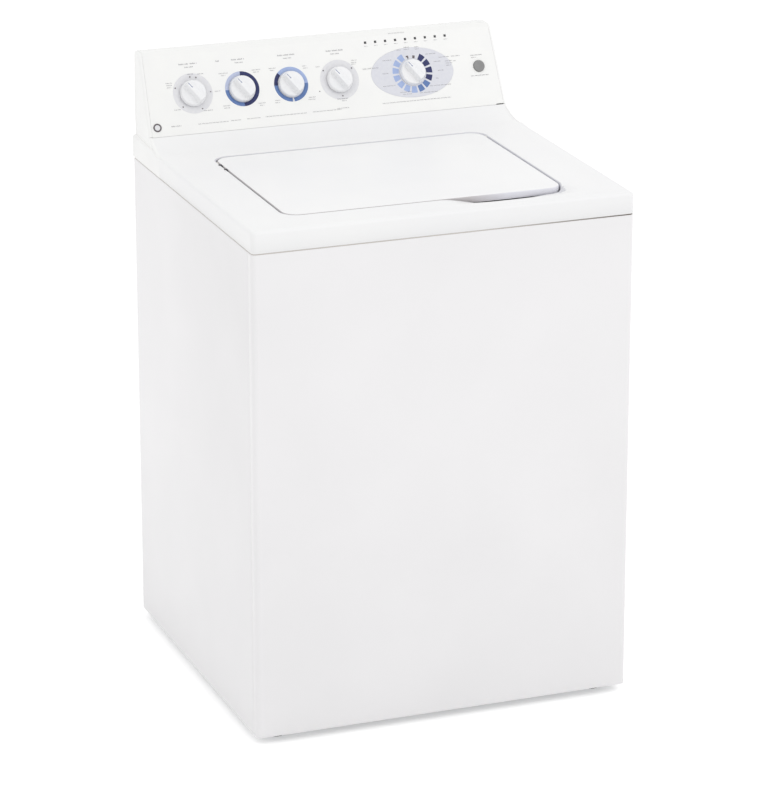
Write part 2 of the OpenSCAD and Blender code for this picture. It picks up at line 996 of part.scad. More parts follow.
module lid_hinge_bushes() {
  color("#d8d8d6")
    for (side = [-1, 1])
      translate([lid_x + side * (bush_x + free + bush_len / 2), hinge_y, hinge_z])
        rotate([0, 90, 0])
          difference() {
            cylinder(r = bush_r, h = bush_len, center = true);
            cylinder(r = pin_r + run, h = 2 * bush_len, center = true);
          }
}

// Rests under the lid's rim, and two buffers in the left wall of the recess
rest_r = 5;
rest_inset = 90;
buffer_r = 2.6;
buffer_z = deck_height - 4;
buffer_setback = 49;
buffer_pitch = 30;
edge_buffers = [for (i = [0, 1]) lid_back - buffer_setback - i * buffer_pitch];
module lid_bumpers() {
  color("#4a4a4a") {
    for (x = [-1, 1], y = [-1, 1])
      translate([lid_x + x * (recess_w / 2 - ledge_w / 2 - 1), lid_y + y * (lid_d / 2 - rest_inset), ledge_z])
        cylinder(r = rest_r, h = lid_base - ledge_z - free / 4);
    for (y = edge_buffers)
      translate([lid_x - recess_w / 2, y, buffer_z])
        rotate([0, 90, 0])
          cylinder(r = buffer_r, h = 4 * sheet, center = true);
  }
}

plunger_r = 3;
plunger_x = lid_x + recess_w / 2 - ledge_w / 2;
plunger_y = lid_back - 110;
plunger_travel = 4;
switch_z = ledge_z - sheet - fit;
module lid_switch() {
  w = 14;
  l = 34;
  h = 20;
  color("#e6e2d8")
    difference() {
      translate([plunger_x - w / 2, plunger_y - l / 2, switch_z - h])
        cube([w, l, h]);
      translate([plunger_x, plunger_y, switch_z - h + 3])
        cylinder(r = plunger_r + run, h = h);
    }
}

module lid_switch_plunger() {
  foot = 10;
  color("#c04a34")
    translate([plunger_x, plunger_y, switch_z - foot])
      cylinder(r = plunger_r, h = lid_base - free - switch_z + foot);
}

// Bleach tray in the front left corner of the opening
bleach_r = 20;
tray_x = ledge_w + 2 * bleach_r + 28;
tray_y = ledge_w + 2 * bleach_r + 6;
bleach_x = lid_x - recess_w / 2 + ledge_w + bleach_r + 6;
bleach_y = lid_y - recess_d / 2 + ledge_w + bleach_r + 2;
module bleach_dispenser() {
  t = 2;
  fall = 22;
  color("#dfe3e8")
    difference() {
      union() {
        translate([0, 0, ledge_z])
          linear_extrude(t)
            intersection() {
              translate([lid_x, lid_y])
                rounded_rect(recess_w - 2 * fit, recess_d - 2 * fit, recess_r - fit);
              translate([lid_x - recess_w / 2, lid_y - recess_d / 2])
                square([tray_x, tray_y]);
            }
        translate([bleach_x, bleach_y, ledge_z - fall])
          cylinder(r1 = bleach_r - 4, r2 = bleach_r, h = fall);
      }
      translate([bleach_x, bleach_y, ledge_z - fall + t])
        cylinder(r1 = bleach_r - 4 - t, r2 = bleach_r - t, h = fall + eps);
      translate([bleach_x, bleach_y, ledge_z - fall - 1])
        cylinder(r = 4, h = 2 * t);
    }
}

// ---------------------------------------------------------------- console

// Side outline of the console from the foot of the face, over the brow, to the crown
brow_turn = 90 - tilt;
brow_c = [brow_y + brow_r * tan(brow_turn / 2), height - brow_r];
crown_c = [back_y - crown_r, height - crown_r];

// Outline of the face, drawn in from the outside by inset
function face_line(inset) = concat(
  [[seam_y + inset * cos(tilt), seam_z - inset * sin(tilt)]],
  arc(brow_c, brow_r - inset, 90 + brow_turn, 90),
  [[back_y - crown_r - fit, height - inset]]
);

// Outline of the rear cover, from the top down to the work surface
function rear_line(inset) = concat(
  arc(crown_c, crown_r - inset, 90, -back_lean),
  [[cabinet_back + sheet + fit - inset, deck_height]]
);

// Shape drawn in the side view and carried across the console between the end caps
module across_console() {
  intersection() {
    rotate([90, 0, 90])
      linear_extrude(width, center = true)
        children();
    inside_caps(cap_in);
  }
}

module console_face() {
  post_h = lamp_drop - face_wall;
  color("#f4f4f2")
    difference() {
      union() {
        across_console()
          polygon(concat(face_line(0), reversed(face_line(face_wall))));
        for (x = [-1, 1])
          on_face(lamp_x + x * (lamp_count * lamp_pitch / 2 + 6), lamp_s)
            translate([0, 0, -lamp_drop])
              cylinder(r = 3, h = post_h + eps);
      }
      for (x = knob_places)
        on_face(x[0], x[1])
          cylinder(r = stem_r + free, h = 20, center = true);
      on_face(start_x, cycle_s)
        cylinder(r = start_r + free, h = 20, center = true);
      for (x = lamp_places)
        on_face(x, lamp_s)
          cube([lamp_side + 2 * fit, lamp_side + 2 * fit, 20], center = true);
    }
}

module console_rear_cover() {
  color("#e9e9e8")
    difference() {
      union() {
        across_console()
          polygon(concat(rear_line(0), reversed(rear_line(sheet))));
        translate([-half_w + corner_r + cap_in, cabinet_back + fit, deck_height - rear_tab])
          cube([width - 2 * (corner_r + cap_in), sheet, rear_tab + eps]);
      }
      back_holes(console_screws, console_screw_z, screw_r + run);
      for (i = [0:4])
        on_back(rear_vent_x, 40 + i * 16)
          cube([vent_w, vent_h, 12], center = true);
    }
}

// Side outline of an end cap above the work surface
module cap_outline() {
  polygon(concat(
    [[cap_y, deck_height + fit], [cap_y, deck_height + sheet]],
    arc([ramp_y, deck_height + ramp_r], ramp_r - sheet, -90, -90 + ramp_turn),
    arc(brow_c, brow_r, 90 + brow_turn, 90),
    arc(crown_c, crown_r, 90, -back_lean),
    [[cabinet_back, deck_height + fit]]
  ));
}

module end_cap_right() {
  color("#f5f5f4") {
    difference() {
      intersection() {
        rotate([90, 0, 90])
          linear_extrude(half_w)
            cap_outline();
        inside_right(0);
      }
      inside_right(cap_wall);
    }
    // flange beside the cover's skirt, and the ledge that joins it to the wall
    intersection() {
      union() {
        translate([half_w - cap_wall, cap_y, skirt_z])
          cube([cap_wall, cabinet_back - cap_y, skirt + cap_wall]);
        difference() {
          translate([half_w - cap_wall - cap_taper, cap_y, deck_height + fit])
            cube([cap_wall + cap_taper, cabinet_back - cap_y, cap_wall - fit]);
          inside_right(cap_wall);
        }
      }
      linear_extrude(height)
        cabinet_plan(0);
    }
  }
}

module end_cap_left() {
  mirror([1, 0, 0])
    end_cap_right();
}

// ---------------------------------------------------------------- controls

cycle_s = knob_s + 1;
knob_places = [
  [knob_x, knob_s], [knob_x + knob_pitch, knob_s], [knob_x + 2 * knob_pitch, knob_s],
  [knob_x + 3 * knob_pitch, knob_s], [cycle_x, cycle_s]
];
lamp_places = [for (i = [0:lamp_count - 1]) lamp_x + (i - (lamp_count - 1) / 2) * lamp_pitch];

module dial_ring(outer, bore, colour) {
  color(colour)
    tube(outer, bore, overlay_h);
}

module dial_overlays() {
  n = 64;
  colours = ["#c9c9c6", "#2f4a86", "#7f9fd6", "#c9c9c6"];
  for (i = [0:3])
    on_face(knob_places[i][0], knob_s)
      dial_ring(ring_r, stem_r + free, colours[i]);
  on_face(cycle_x, cycle_s) {
    color("#dfe0e6")
      linear_extrude(overlay_h)
        difference() {
          polygon([for (i = [0:n - 1]) [plate_a * cos(360 * i / n), plate_b * sin(360 * i / n)]]);
          circle(stem_r + free);
        }
    translate([0, 0, overlay_h])
      dial_ring(ring_r, ring_bore, "#5f7fc0");
  }
}

// Option knob: round base, straight grip with a pointed nose, and the stem behind it
module knob(turn) {
  grip_l = 2 * knob_r - 3;
  color("#f4f4f4") {
    translate([0, 0, knob_lift])
      cylinder(r1 = knob_r, r2 = knob_r - 1.5, h = knob_base_h);
    rotate(turn)
      translate([0, 0, knob_lift + knob_base_h - eps])
        hull() {
          linear_extrude(1)
            square([grip_l - 4, grip_w + 3], center = true);
          translate([0, 0, knob_h - knob_lift - knob_base_h - 1])
            linear_extrude(1)
              square([grip_l - 8, grip_w - 2], center = true);
        }
    translate([0, 0, -stem_depth])
      cylinder(r = stem_r, h = stem_depth + knob_lift + eps);
  }
}

module load_knob() {
  on_face(knob_places[0][0], knob_s)
    knob(128);
}
module rinse_knob() {
  on_face(knob_places[1][0], knob_s)
    knob(128);
}
module temperature_knob() {
  on_face(knob_places[2][0], knob_s)
    knob(128);
}
module option_knob() {
  on_face(knob_places[3][0], knob_s)
    knob(128);
}
module cycle_knob() {
  on_face(cycle_x, cycle_s)
    knob(128);
}

module selector_switches() {
  color("#d9d5c8")
    for (p = knob_places)
      on_face(p[0], p[1])
        difference() {
          translate([-switch_side / 2, -switch_side / 2, -face_wall - switch_h])
            cube([switch_side, switch_side, switch_h]);
          translate([0, 0, -stem_depth - free])
            cylinder(r = stem_r + run, h = stem_depth + free + eps);
        }
}

// Button that is held in by its flange behind the face
start_flange = 2.5;
start_proud = 3;
module start_button() {
  flange_h = 1.5;
  color("#8c8c8c")
    on_face(start_x, cycle_s) {
      translate([0, 0, -face_wall - fit - flange_h])
        cylinder(r = start_r + start_flange, h = flange_h);
      translate([0, 0, -face_wall - fit - eps])
        cylinder(r = start_r, h = face_wall + fit + start_proud);
    }
}

module indicator_lamps() {
  color("#1c1c20")
    for (x = lamp_places)
      on_face(x, lamp_s)
        translate([-lamp_side / 2, -lamp_side / 2, -lamp_drop])
          cube([lamp_side, lamp_side, lamp_drop + 0.3]);
}

// Board behind the lamps, and the switch block behind the start button
module control_board() {
  board_t = 1.6;
  board_h = 22;
  color("#2f6b3c")
    on_face(lamp_x, lamp_s)
      translate([0, 0, -lamp_drop - board_t / 2])
        cube([lamp_count * lamp_pitch + 20, board_h, board_t], center = true);
  color("#2b2b2b")
    on_face(start_x, cycle_s)
      difference() {
        translate([-18, -18, -face_wall - 16])
          cube([36, 36, 16]);
        translate([0, 0, -face_wall - 1.7 - start_travel - 2 * free])
          cylinder(r = start_r + start_flange + free, h = 30);
      }
}

module pressure_switch() {
  switch_r = 26;
  color("#e8e4da")
    on_back(-270, 70) {
      translate([0, 0, -22 - fit])
        cylinder(r = switch_r, h = 22);
      translate([0, 0, -34])
        cylinder(r = 6, h = 12);
    }
}

// ---------------------------------------------------------------- water parts

module inlet_valve() {
  port_out = back_y;
  valve_base = port_z - 20;
  valve_top = hose_z + fill_r;
  color("#e4e4e0")
    difference() {
      union() {
        translate([valve_x - valve_w / 2, valve_back - valve_d - fit, valve_base])
          cube([valve_w, valve_d, valve_top - valve_base]);
        for (x = [-1, 1])
          translate([valve_x + x * port_spacing / 2, valve_back - 3, port_z])
            rotate([-90, 0, 0]) {
              cylinder(r = port_r, h = port_out - valve_back + 3);
              cylinder(r = port_collar_r, h = mount_start - valve_back + 3);
            }
      }
      for (x = [-1, 1])
        translate([valve_x + x * port_spacing / 2, valve_back - 2, port_z])
          rotate([-90, 0, 0])
            cylinder(r = port_r - 3.3, h = 60);
    }
  color("#3f5f9a")
    for (x = [-1, 1])
      translate([valve_x + x * port_spacing / 2, valve_back - valve_d / 2, valve_base - 30])
        cylinder(r = valve_d / 2 - 2, h = 30);
}

// Hose from the valve to the flat spout behind the opening
spout_w = 54;
spout_t = 10;
spout_l = 90;
spout_reach = spout_l + 15;
module fill_hose() {
  start = valve_back - valve_d - fit;
  spout_y = start - spout_reach;
  spout_z = hose_z - spout_t / 2;
  color("#5a5a5c")
    translate([valve_x, start, hose_z])
      rotate([90, 0, 0])
        tube(fill_r, fill_bore, start - spout_y);
  color("#dcdcdc")
    difference() {
      translate([valve_x - spout_w / 2, spout_y - spout_l, spout_z])
        cube([spout_w, spout_l, spout_t]);
      translate([valve_x - spout_w / 2 + 2, spout_y - spout_l - 1, spout_z + 2])
        cube([spout_w - 4, spout_l - 1, spout_t - 4]);
      translate([valve_x, spout_y + 1, hose_z])
        rotate([90, 0, 0])
          cylinder(r = 2.9, h = 4);
    }
}

module pump_housing() {
  floor_z = chamber_z + pump_wall;
  neck_h = tub_bottom - chamber_z - chamber_h;
  post_r = 5;
  color("#c9ccd0")
    at_pump()
      difference() {
        union() {
          translate([0, 0, chamber_z])
            cylinder(r = pump_r, h = chamber_h);
          translate([0, 0, pump_can_z])
            cylinder(r = pump_can_r, h = chamber_z - pump_can_z + eps);
          translate([0, 0, chamber_z + chamber_h - eps])
            cylinder(r = hose_r, h = neck_h + eps);
          translate([0, 0, outlet_z])
            rotate([0, -90, 0])
              cylinder(r = hose_r, h = outlet_reach);
          for (a = [60, 180, 300])
            rotate(a)
              translate([pump_r - post_r - 2, 0, chamber_z + chamber_h - eps])
                cylinder(r = post_r, h = platform_z - chamber_z - chamber_h + eps);
        }
        translate([0, 0, floor_z])
          cylinder(r = pump_r - pump_wall, h = chamber_h - 2 * pump_wall);
        translate([0, 0, floor_z])
          cylinder(r = hose_bore, h = far);
        translate([0, 0, outlet_z])
          rotate([0, -90, 0])
            cylinder(r = hose_bore, h = far);
        translate([0, 0, pump_can_z + 10])
          cylinder(r = pump_shaft_r + run, h = chamber_z - pump_can_z);
      }
}

module pump_impeller() {
  hub_z0 = chamber_z + pump_wall + 2;
  blade_h = 16;
  blades = 6;
  color("#4c4c50")
    at_pump() {
      translate([0, 0, pump_can_z + 12])
        cylinder(r = pump_shaft_r, h = hub_z0 - pump_can_z - 12 + eps);
      translate([0, 0, hub_z0])
        cylinder(r = impeller_r, h = 3);
      translate([0, 0, hub_z0])
        cylinder(r = 9, h = 3 + blade_h);
      for (i = [0:blades - 1])
        rotate(i * 360 / blades)
          translate([7, -1.5, hub_z0])
            cube([impeller_r - 9, 3, 3 + blade_h]);
    }
}

module drain_hose() {
  color("#6b6e73")
    swept_tube(hose_route, hose_r);
}

// Elbow that carries the drain out through the back
module drain_spigot() {
  spigot_out = back_y;
  color("#d0d2d4")
    difference() {
      union() {
        translate([drain_x, spigot_y, drain_z - spigot_fall])
          cylinder(r = hose_r, h = spigot_fall);
        translate([drain_x, spigot_y, drain_z])
          sphere(r = hose_r);
        translate([drain_x, spigot_y, drain_z])
          rotate([-90, 0, 0]) {
            cylinder(r = hose_r, h = spigot_out - spigot_y);
            cylinder(r = drain_collar_r, h = mount_start - spigot_y);
          }
        translate([drain_x, cabinet_back - sheet - fit - 3, drain_z])
          rotate([-90, 0, 0])
            cylinder(r = hose_r + 9, h = 3);
      }
      translate([drain_x, spigot_y, drain_z - spigot_fall - 1])
        cylinder(r = hose_bore, h = spigot_fall + 1);
      translate([drain_x, spigot_y, drain_z])
        sphere(r = hose_bore);
      translate([drain_x, spigot_y, drain_z])
        rotate([-90, 0, 0])
          cylinder(r = hose_bore, h = 2 * depth);
    }
}

// ---------------------------------------------------------------- tub and suspension

tub_bend = 25;
module tub_profile() {
  r0 = bearing_r;
  polygon(concat(
    [[r0, tub_bottom]],
    arc([tub_r - tub_bend, tub_bottom + tub_bend], tub_bend, -90, 0, 8),
    [[tub_r, tub_top], [tub_r - tub_wall, tub_top]],
    arc([tub_r - tub_bend, tub_bottom + tub_bend], tub_bend - tub_wall, 0, -75, 8),
    [[tub_r - tub_bend - 6, tub_bottom + tub_floor], [r0, tub_bottom + tub_floor]]
  ));
}

module outer_tub() {
  color("#e3e6e8")
    at_axis()
      difference() {
        union() {
          rotate_extrude($fn = 96)
            tub_profile();
          translate([0, 0, ear_z])
            linear_extrude(ear_t)
              difference() {
                for (a = [45:90:315])
                  rotate(a)
                    translate([0, -ear_w / 2])
                      square([ear_reach, ear_w]);
                circle(tub_r - tub_wall / 2, $fn = 96);
              }
          for (a = [45:90:315])
            rotate(a)
              translate([tub_r - tub_wall / 2, -3, ear_z - 40])
                cube([24, 6, 40 + eps]);
        }
        for (x = [-1, 1], y = [-1, 1])
          translate([x * rod_offset, y * rod_offset, ear_z - 1])
            cylinder(r = ear_hole_r, h = ear_t + 2);
        translate([-pump_dx, -pump_dy, tub_bottom - 1])
          cylinder(r = hose_bore, h = tub_floor + 2);
      }
}

module tub_ring() {
  collar = 24;
  color("#eceff1")
    at_axis()
      rotate_extrude($fn = 96)
        polygon([
          [tub_r + fit, tub_ring_z - collar], [tub_r + tub_ring_wall, tub_ring_z - collar],
          [tub_r + tub_ring_wall, tub_ring_z], [tub_r, tub_ring_z + tub_ring_t],
          [tub_ring_bore + tub_ring_t, tub_ring_z + tub_ring_t],
          [tub_ring_bore + 3, tub_ring_z + tub_ring_t + tub_ring_lip],
          [tub_ring_bore, tub_ring_z + tub_ring_t + tub_ring_lip],
          [tub_ring_bore, tub_ring_z], [tub_r - tub_wall, tub_ring_z], [tub_r - tub_wall, tub_top],
          [tub_r + fit, tub_top]
        ]);
}

module tub_seal() {
  color("#26262a")
    at_axis()
      translate([0, 0, tub_bottom])
        tube(bearing_r - fit / 2, spin_r + run, tub_floor);
}

window_r = 28;
window_ring_r = 150;
module platform() {
  color("#8b8f93")
    at_axis()
      difference() {
        union() {
          translate([0, 0, platform_z])
            cylinder(r = platform_r, h = platform_gauge, $fn = 96);
          translate([0, 0, platform_z])
            tube(platform_r, platform_r - platform_gauge, tub_bottom - platform_z, $fn = 96);
        }
        translate([0, 0, platform_z - 1])
          cylinder(r = housing_r + fit, h = platform_gauge + 2);
        translate([-pump_dx, -pump_dy, platform_z - 1])
          cylinder(r = hose_r + fit, h = platform_gauge + 2);
        for (a = [75, 165, 255])
          rotate(a)
            translate([window_ring_r, 0, platform_z - 1])
              cylinder(r = window_r, h = platform_gauge + 2);
      }
}

module drive_housing() {
  ribs = 8;
  color("#b4b7ba")
    at_axis()
      difference() {
        union() {
          translate([0, 0, housing_bottom])
            cylinder(r = housing_r, h = tub_bottom - housing_bottom);
          translate([0, 0, platform_top])
            cylinder(r = housing_flange_r, h = 8);
          for (i = [0:ribs - 1])
            rotate(i * 360 / ribs)
              translate([0, -3, platform_top])
                cube([housing_flange_r - 6, 6, tub_bottom - platform_top]);
        }
        translate([0, 0, housing_bottom - 1])
          cylinder(r = spin_r + 4, h = far);
        translate([0, 0, upper_bearing_z])
          cylinder(r = bearing_r, h = far);
        translate([0, 0, housing_bottom - 1])
          cylinder(r = bearing_r, h = lower_bearing_z + bearing_h - housing_bottom + 1);
      }
}

module bearings() {
  color("#c4c8cc")
    at_axis()
      for (z = [lower_bearing_z, upper_bearing_z])
        translate([0, 0, z])
          tube(bearing_r, spin_r + run, bearing_h);
}

module suspension_rods() {
  color("#a8abae")
    at_rods() {
      translate([0, 0, rod_foot_z])
        cylinder(r = rod_r, h = hanger_z + hanger_t + rod_head_h - rod_foot_z);
      translate([0, 0, hanger_z + hanger_t])
        cylinder(r1 = rod_head_r, r2 = rod_head_r - 3, h = rod_head_h);
      translate([0, 0, rod_foot_z])
        cylinder(r = rod_cap_r, h = rod_cap_h);
    }
}

module suspension_springs() {
  steps = 12;
  low = rod_foot_z + rod_cap_h + wire_r + fit;
  high = ear_z - spring_cup_h - wire_r - fit;
  n = coil_turns * steps;
  coil = [for (i = [0:n]) [coil_r * cos(360 * i / steps), coil_r * sin(360 * i / steps), low + (high - low) * i / n]];
  color("#6f7275")
    at_rods()
      swept_tube(coil, wire_r, 6);
}

module suspension_cups() {
  color("#e8e8e4")
    at_rods()
      translate([0, 0, ear_z - spring_cup_h])
        difference() {
          cylinder(r1 = cup_foot_r, r2 = cup_top_r, h = spring_cup_h);
          translate([0, 0, -1])
            cylinder(r = rod_r + 2 * run, h = spring_cup_h + 2);
        }
}

// ---------------------------------------------------------------- basket

basket_bend = 30;
module basket_profile() {
  c = [basket_r - basket_bend, basket_bottom + basket_bend];
  polygon(concat(
    [[hub_boss_r + fit, basket_bottom]],
    arc(c, basket_bend, -90, 0, 8),
    [[basket_r, basket_top], [basket_r - basket_gauge, basket_top]],
    arc(c, basket_bend - basket_gauge, 0, -90, 8),
    [[hub_boss_r + fit, basket_bottom + basket_gauge]]
  ));
}

module basket() {
  row_gap = (basket_top - basket_bottom - 120) / drain_rows;
  color("#c9cdd1")
    at_axis()
      difference() {
        rotate_extrude($fn = 96)
          basket_profile();
        for (j = [0:drain_rows - 1], i = [0:drain_count - 1])
          rotate((i + 0.5 * (j % 2)) * 360 / drain_count)
            translate([basket_r - 10, 0, basket_bottom + 80 + j * row_gap])
              rotate([0, 90, 0])
                cylinder(r = drain_hole_r, h = 20);
      }
}

module balance_ring() {
  color("#f1f3f4")
    at_axis()
      translate([0, 0, basket_top])
        rotate_extrude($fn = 96)
          polygon([
            [balance_bore, 4], [balance_bore + 6, 0], [basket_r, 0], [basket_r + 3, 3],
            [basket_r + 3, balance_h - 4], [basket_r - 1, balance_h], [balance_bore + 5, balance_h],
            [balance_bore, balance_h - 6]
          ]);
}

module basket_hub() {
  color("#9fa3a6")
    at_axis()
      difference() {
        union() {
          translate([0, 0, hub_z])
            cylinder(r = hub_r, h = basket_bottom - hub_z);
          translate([0, 0, hub_z])
            cylinder(r = hub_boss_r, h = basket_bottom - hub_z + 8);
        }
        translate([0, 0, hub_z - 1])
          cylinder(r = spin_r, h = far);
      }
}

module spin_tube() {
  color("#b2b5b8")
    at_axis()
      translate([0, 0, spin_bottom])
        tube(spin_r, shaft_r + run, spin_top - spin_bottom);
}

// ---------------------------------------------------------------- agitator

// Radius of the agitator's outside at height z, a bell that flares to the skirt
function bell(z) = column_r + (agitator_r - column_r) * pow((skirt_top - z) / (skirt_top - skirt_base), 2.4);
bell_steps = 10;
bell_line = [for (i = [0:bell_steps])
  let (z = skirt_base + (skirt_top - skirt_base) * i / bell_steps) [bell(z), z]];

module agitator() {
  hub_wall = 12;
  web = 6;
  color("#eef0f2")
    at_axis()
      difference() {
        union() {
          rotate_extrude($fn = 64)
            polygon(concat(
              bell_line,
              [[column_r, shoulder_z], [neck_r, shoulder_z], [neck_r, neck_top], [neck_r - agitator_wall, neck_top],
               [neck_r - agitator_wall, shoulder_z - agitator_wall], [column_r - agitator_wall, shoulder_z - agitator_wall]],
              reversed([for (p = bell_line) [p[0] - agitator_wall - (p[1] == skirt_base ? 2 : 0), p[1]]])
            ));
          translate([0, 0, shaft_top - 50])
            cylinder(r = shaft_r + hub_wall, h = 50 + web);
          translate([0, 0, shaft_top])
            cylinder(r = column_r - agitator_wall / 2, h = web);
          for (a = [0:90:270])
            rotate(a)
              vane();
        }
        translate([0, 0, basket_bottom])
          cylinder(r = shaft_r, h = shaft_top - basket_bottom);
      }
}

// One upright vane, broad at the skirt and drawn in towards the shoulder
module vane() {
  root = column_r - agitator_wall / 2;
  rotate([90, 0, 0])
    linear_extrude(vane_t, center = true)
      polygon([
        [root, shoulder_z - 20], [column_r + 16, shoulder_z - 36], [column_r + 34, shoulder_z - 120],
        [vane_reach - 34, skirt_top - 30], [vane_reach, skirt_base + 40], [vane_reach, skirt_base + 10],
        [vane_reach - 26, skirt_base + 12], [root + 30, skirt_top - 80], [root, skirt_top - 20]
      ]);
}

auger_r = neck_r + run + auger_wall;
auger_base = shoulder_z + free;
auger_top = neck_top - 8;
module auger() {
  color("#e6e9ec")
    at_axis() {
      translate([0, 0, auger_base])
        tube(auger_r, neck_r + run, auger_top - auger_base);
      for (a = [0, 180])
        rotate(a)
          auger_flight();
    }
}

// Flight that winds once round the sleeve, tapering in towards the top
module auger_flight() {
  steps = 30;
  turn = 330;
  flight_t = 6;
  rise = auger_top - auger_base - 30;
  root = auger_r - 3;
  corners = [for (i = [0:steps])
    let (
      k = i / steps,
      a = turn * k,
      tip = auger_r + (flight_reach - auger_r) * min(1, 8 * k, 8 * (1 - k)) * (1 - 0.15 * k) + 1,
      z = auger_base + 10 + rise * k
    )
      for (p = [[root, 0], [tip, 2], [tip, flight_t - 1], [root, flight_t]])
        [p[0] * cos(a), p[0] * sin(a), z + p[1]]];
  walls = [for (i = [0:steps - 1], j = [0:3], half = [0, 1])
    half == 0 ? [4 * i + j, 4 * (i + 1) + (j + 1) % 4, 4 * (i + 1) + j]
      : [4 * i + j, 4 * i + (j + 1) % 4, 4 * (i + 1) + (j + 1) % 4]];
  polyhedron(
    points = corners,
    faces = concat([[3, 2, 1, 0]], walls, [[4 * steps, 4 * steps + 1, 4 * steps + 2, 4 * steps + 3]]),
    convexity = 6
  );
}

module softener_cup() {
  wall = 2.5;
  floor_t = 3;
  color("#dfe6f2")
    at_axis()
      difference() {
        translate([0, 0, neck_top])
          cylinder(r1 = auger_r + 2, r2 = cup_r, h = cup_h);
        translate([0, 0, neck_top + floor_t])
          cylinder(r1 = auger_r + 2 - wall, r2 = cup_r - wall, h = cup_h);
      }
}

module drive_shaft() {
  color("#babdc0")
    at_axis()
      translate([0, 0, shaft_bottom])
        cylinder(r = shaft_r, h = shaft_top - shaft_bottom);
}

// ---------------------------------------------------------------- belt drive

module pulley_profile(pitch, bore) {
  rim = pitch + belt_t / 2 + pulley_rim;
  groove = pitch - belt_t / 2 - groove_clear;
  polygon([
    [bore, -pulley_w / 2], [rim, -pulley_w / 2], [rim, -groove_top_w / 2], [groove, -groove_bottom_w / 2],
    [groove, groove_bottom_w / 2], [rim, groove_top_w / 2], [rim, pulley_w / 2], [bore, pulley_w / 2]
  ]);
}

module motor_body() {
  color("#55585c")
    at_motor()
      difference() {
        union() {
          translate([0, 0, motor_base])
            cylinder(r = motor_r - 8, h = motor_top - motor_base);
          translate([0, 0, motor_base + 14])
            cylinder(r = motor_r, h = motor_top - motor_base - 34);
        }
        translate([0, 0, motor_base - 1])
          cylinder(r = motor_shaft_r + run, h = motor_top - motor_base - 20);
      }
}

module motor_pulley() {
  color("#a9acaf")
    at_motor() {
      translate([0, 0, belt_z])
        rotate_extrude()
          pulley_profile(motor_pitch_r, 0);
      translate([0, 0, pulley_base])
        cylinder(r = motor_shaft_r, h = motor_top - 30 - pulley_base);
    }
}

module drive_pulley() {
  color("#9da0a4")
    at_axis()
      difference() {
        union() {
          translate([0, 0, belt_z])
            rotate_extrude($fn = 96)
              pulley_profile(drive_pitch_r, shaft_r);
          translate([0, 0, pulley_base])
            cylinder(r = 2 * shaft_r, h = pulley_w + 12);
        }
        translate([0, 0, shaft_bottom - 1])
          cylinder(r = shaft_r, h = 60);
        for (a = [0:60:300])
          rotate(a)
            translate([(drive_pitch_r + shaft_r) / 2, 0, pulley_base - 1])
              cylinder(r = 12, h = pulley_w + 2);
      }
}

// Loop of the belt at distance off from its pitch line
module belt_loop(off) {
  hull() {
    circle(drive_pitch_r + off, $fn = 96);
    translate([motor_dx, motor_dy])
      circle(motor_pitch_r + off, $fn = 48);
  }
}

module drive_belt() {
  color("#1e1e20")
    at_axis()
      translate([0, 0, belt_z - belt_w / 2])
        linear_extrude(belt_w)
          difference() {
            belt_loop(belt_t / 2);
            belt_loop(-belt_t / 2);
          }
}

module wiring_harness() {
  color("#303236")
    swept_tube(harness_route, harness_r, 10);
}

// ---------------------------------------------------------------- nodes

cabinet_wrapper();
front_panel();
base_frame();
suspension_brackets();
levelling_feet();
foot_locknuts();
cabinet_screws();
cord_gland();
top_cover();
lid();
lid_liner();
lid_hinge_pins();
lid_hinge_bushes();
lid_bumpers();
lid_switch();
lid_switch_plunger();
bleach_dispenser();
console_face();
console_rear_cover();
end_cap_left();
end_cap_right();
dial_overlays();
load_knob();
rinse_knob();
temperature_knob();
option_knob();
cycle_knob();
selector_switches();
start_button();
indicator_lamps();
control_board();
pressure_switch();
inlet_valve();
fill_hose();
pump_housing();
pump_impeller();
drain_hose();
drain_spigot();
outer_tub();
tub_ring();
tub_seal();
platform();
drive_housing();
bearings();
suspension_rods();
suspension_springs();
suspension_cups();
basket();
balance_ring();
basket_hub();
spin_tube();
agitator();
auger();
softener_cup();
drive_shaft();
motor_body();
motor_pulley();
drive_pulley();
drive_belt();
wiring_harness();
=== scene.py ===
# %% [markdown]
# # A top-loading washing machine
#
# The machine is a white enamelled cabinet with a flush lid, a raised console with five dials, and a
# perforated basket with an agitator inside. Its construction is already solved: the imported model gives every
# part at its real size, in metres, standing on the floor with the front facing -Y. This lesson dresses that
# model. Each sheet, moulding and print is worked out as a surface over two numbers, so that it can be made
# again at any size.

# %% Load the fixed frame
import json
import math
import bmesh
import bpy
import numpy as np
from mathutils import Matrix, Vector
from mathutils.geometry import delaunay_2d_cdt


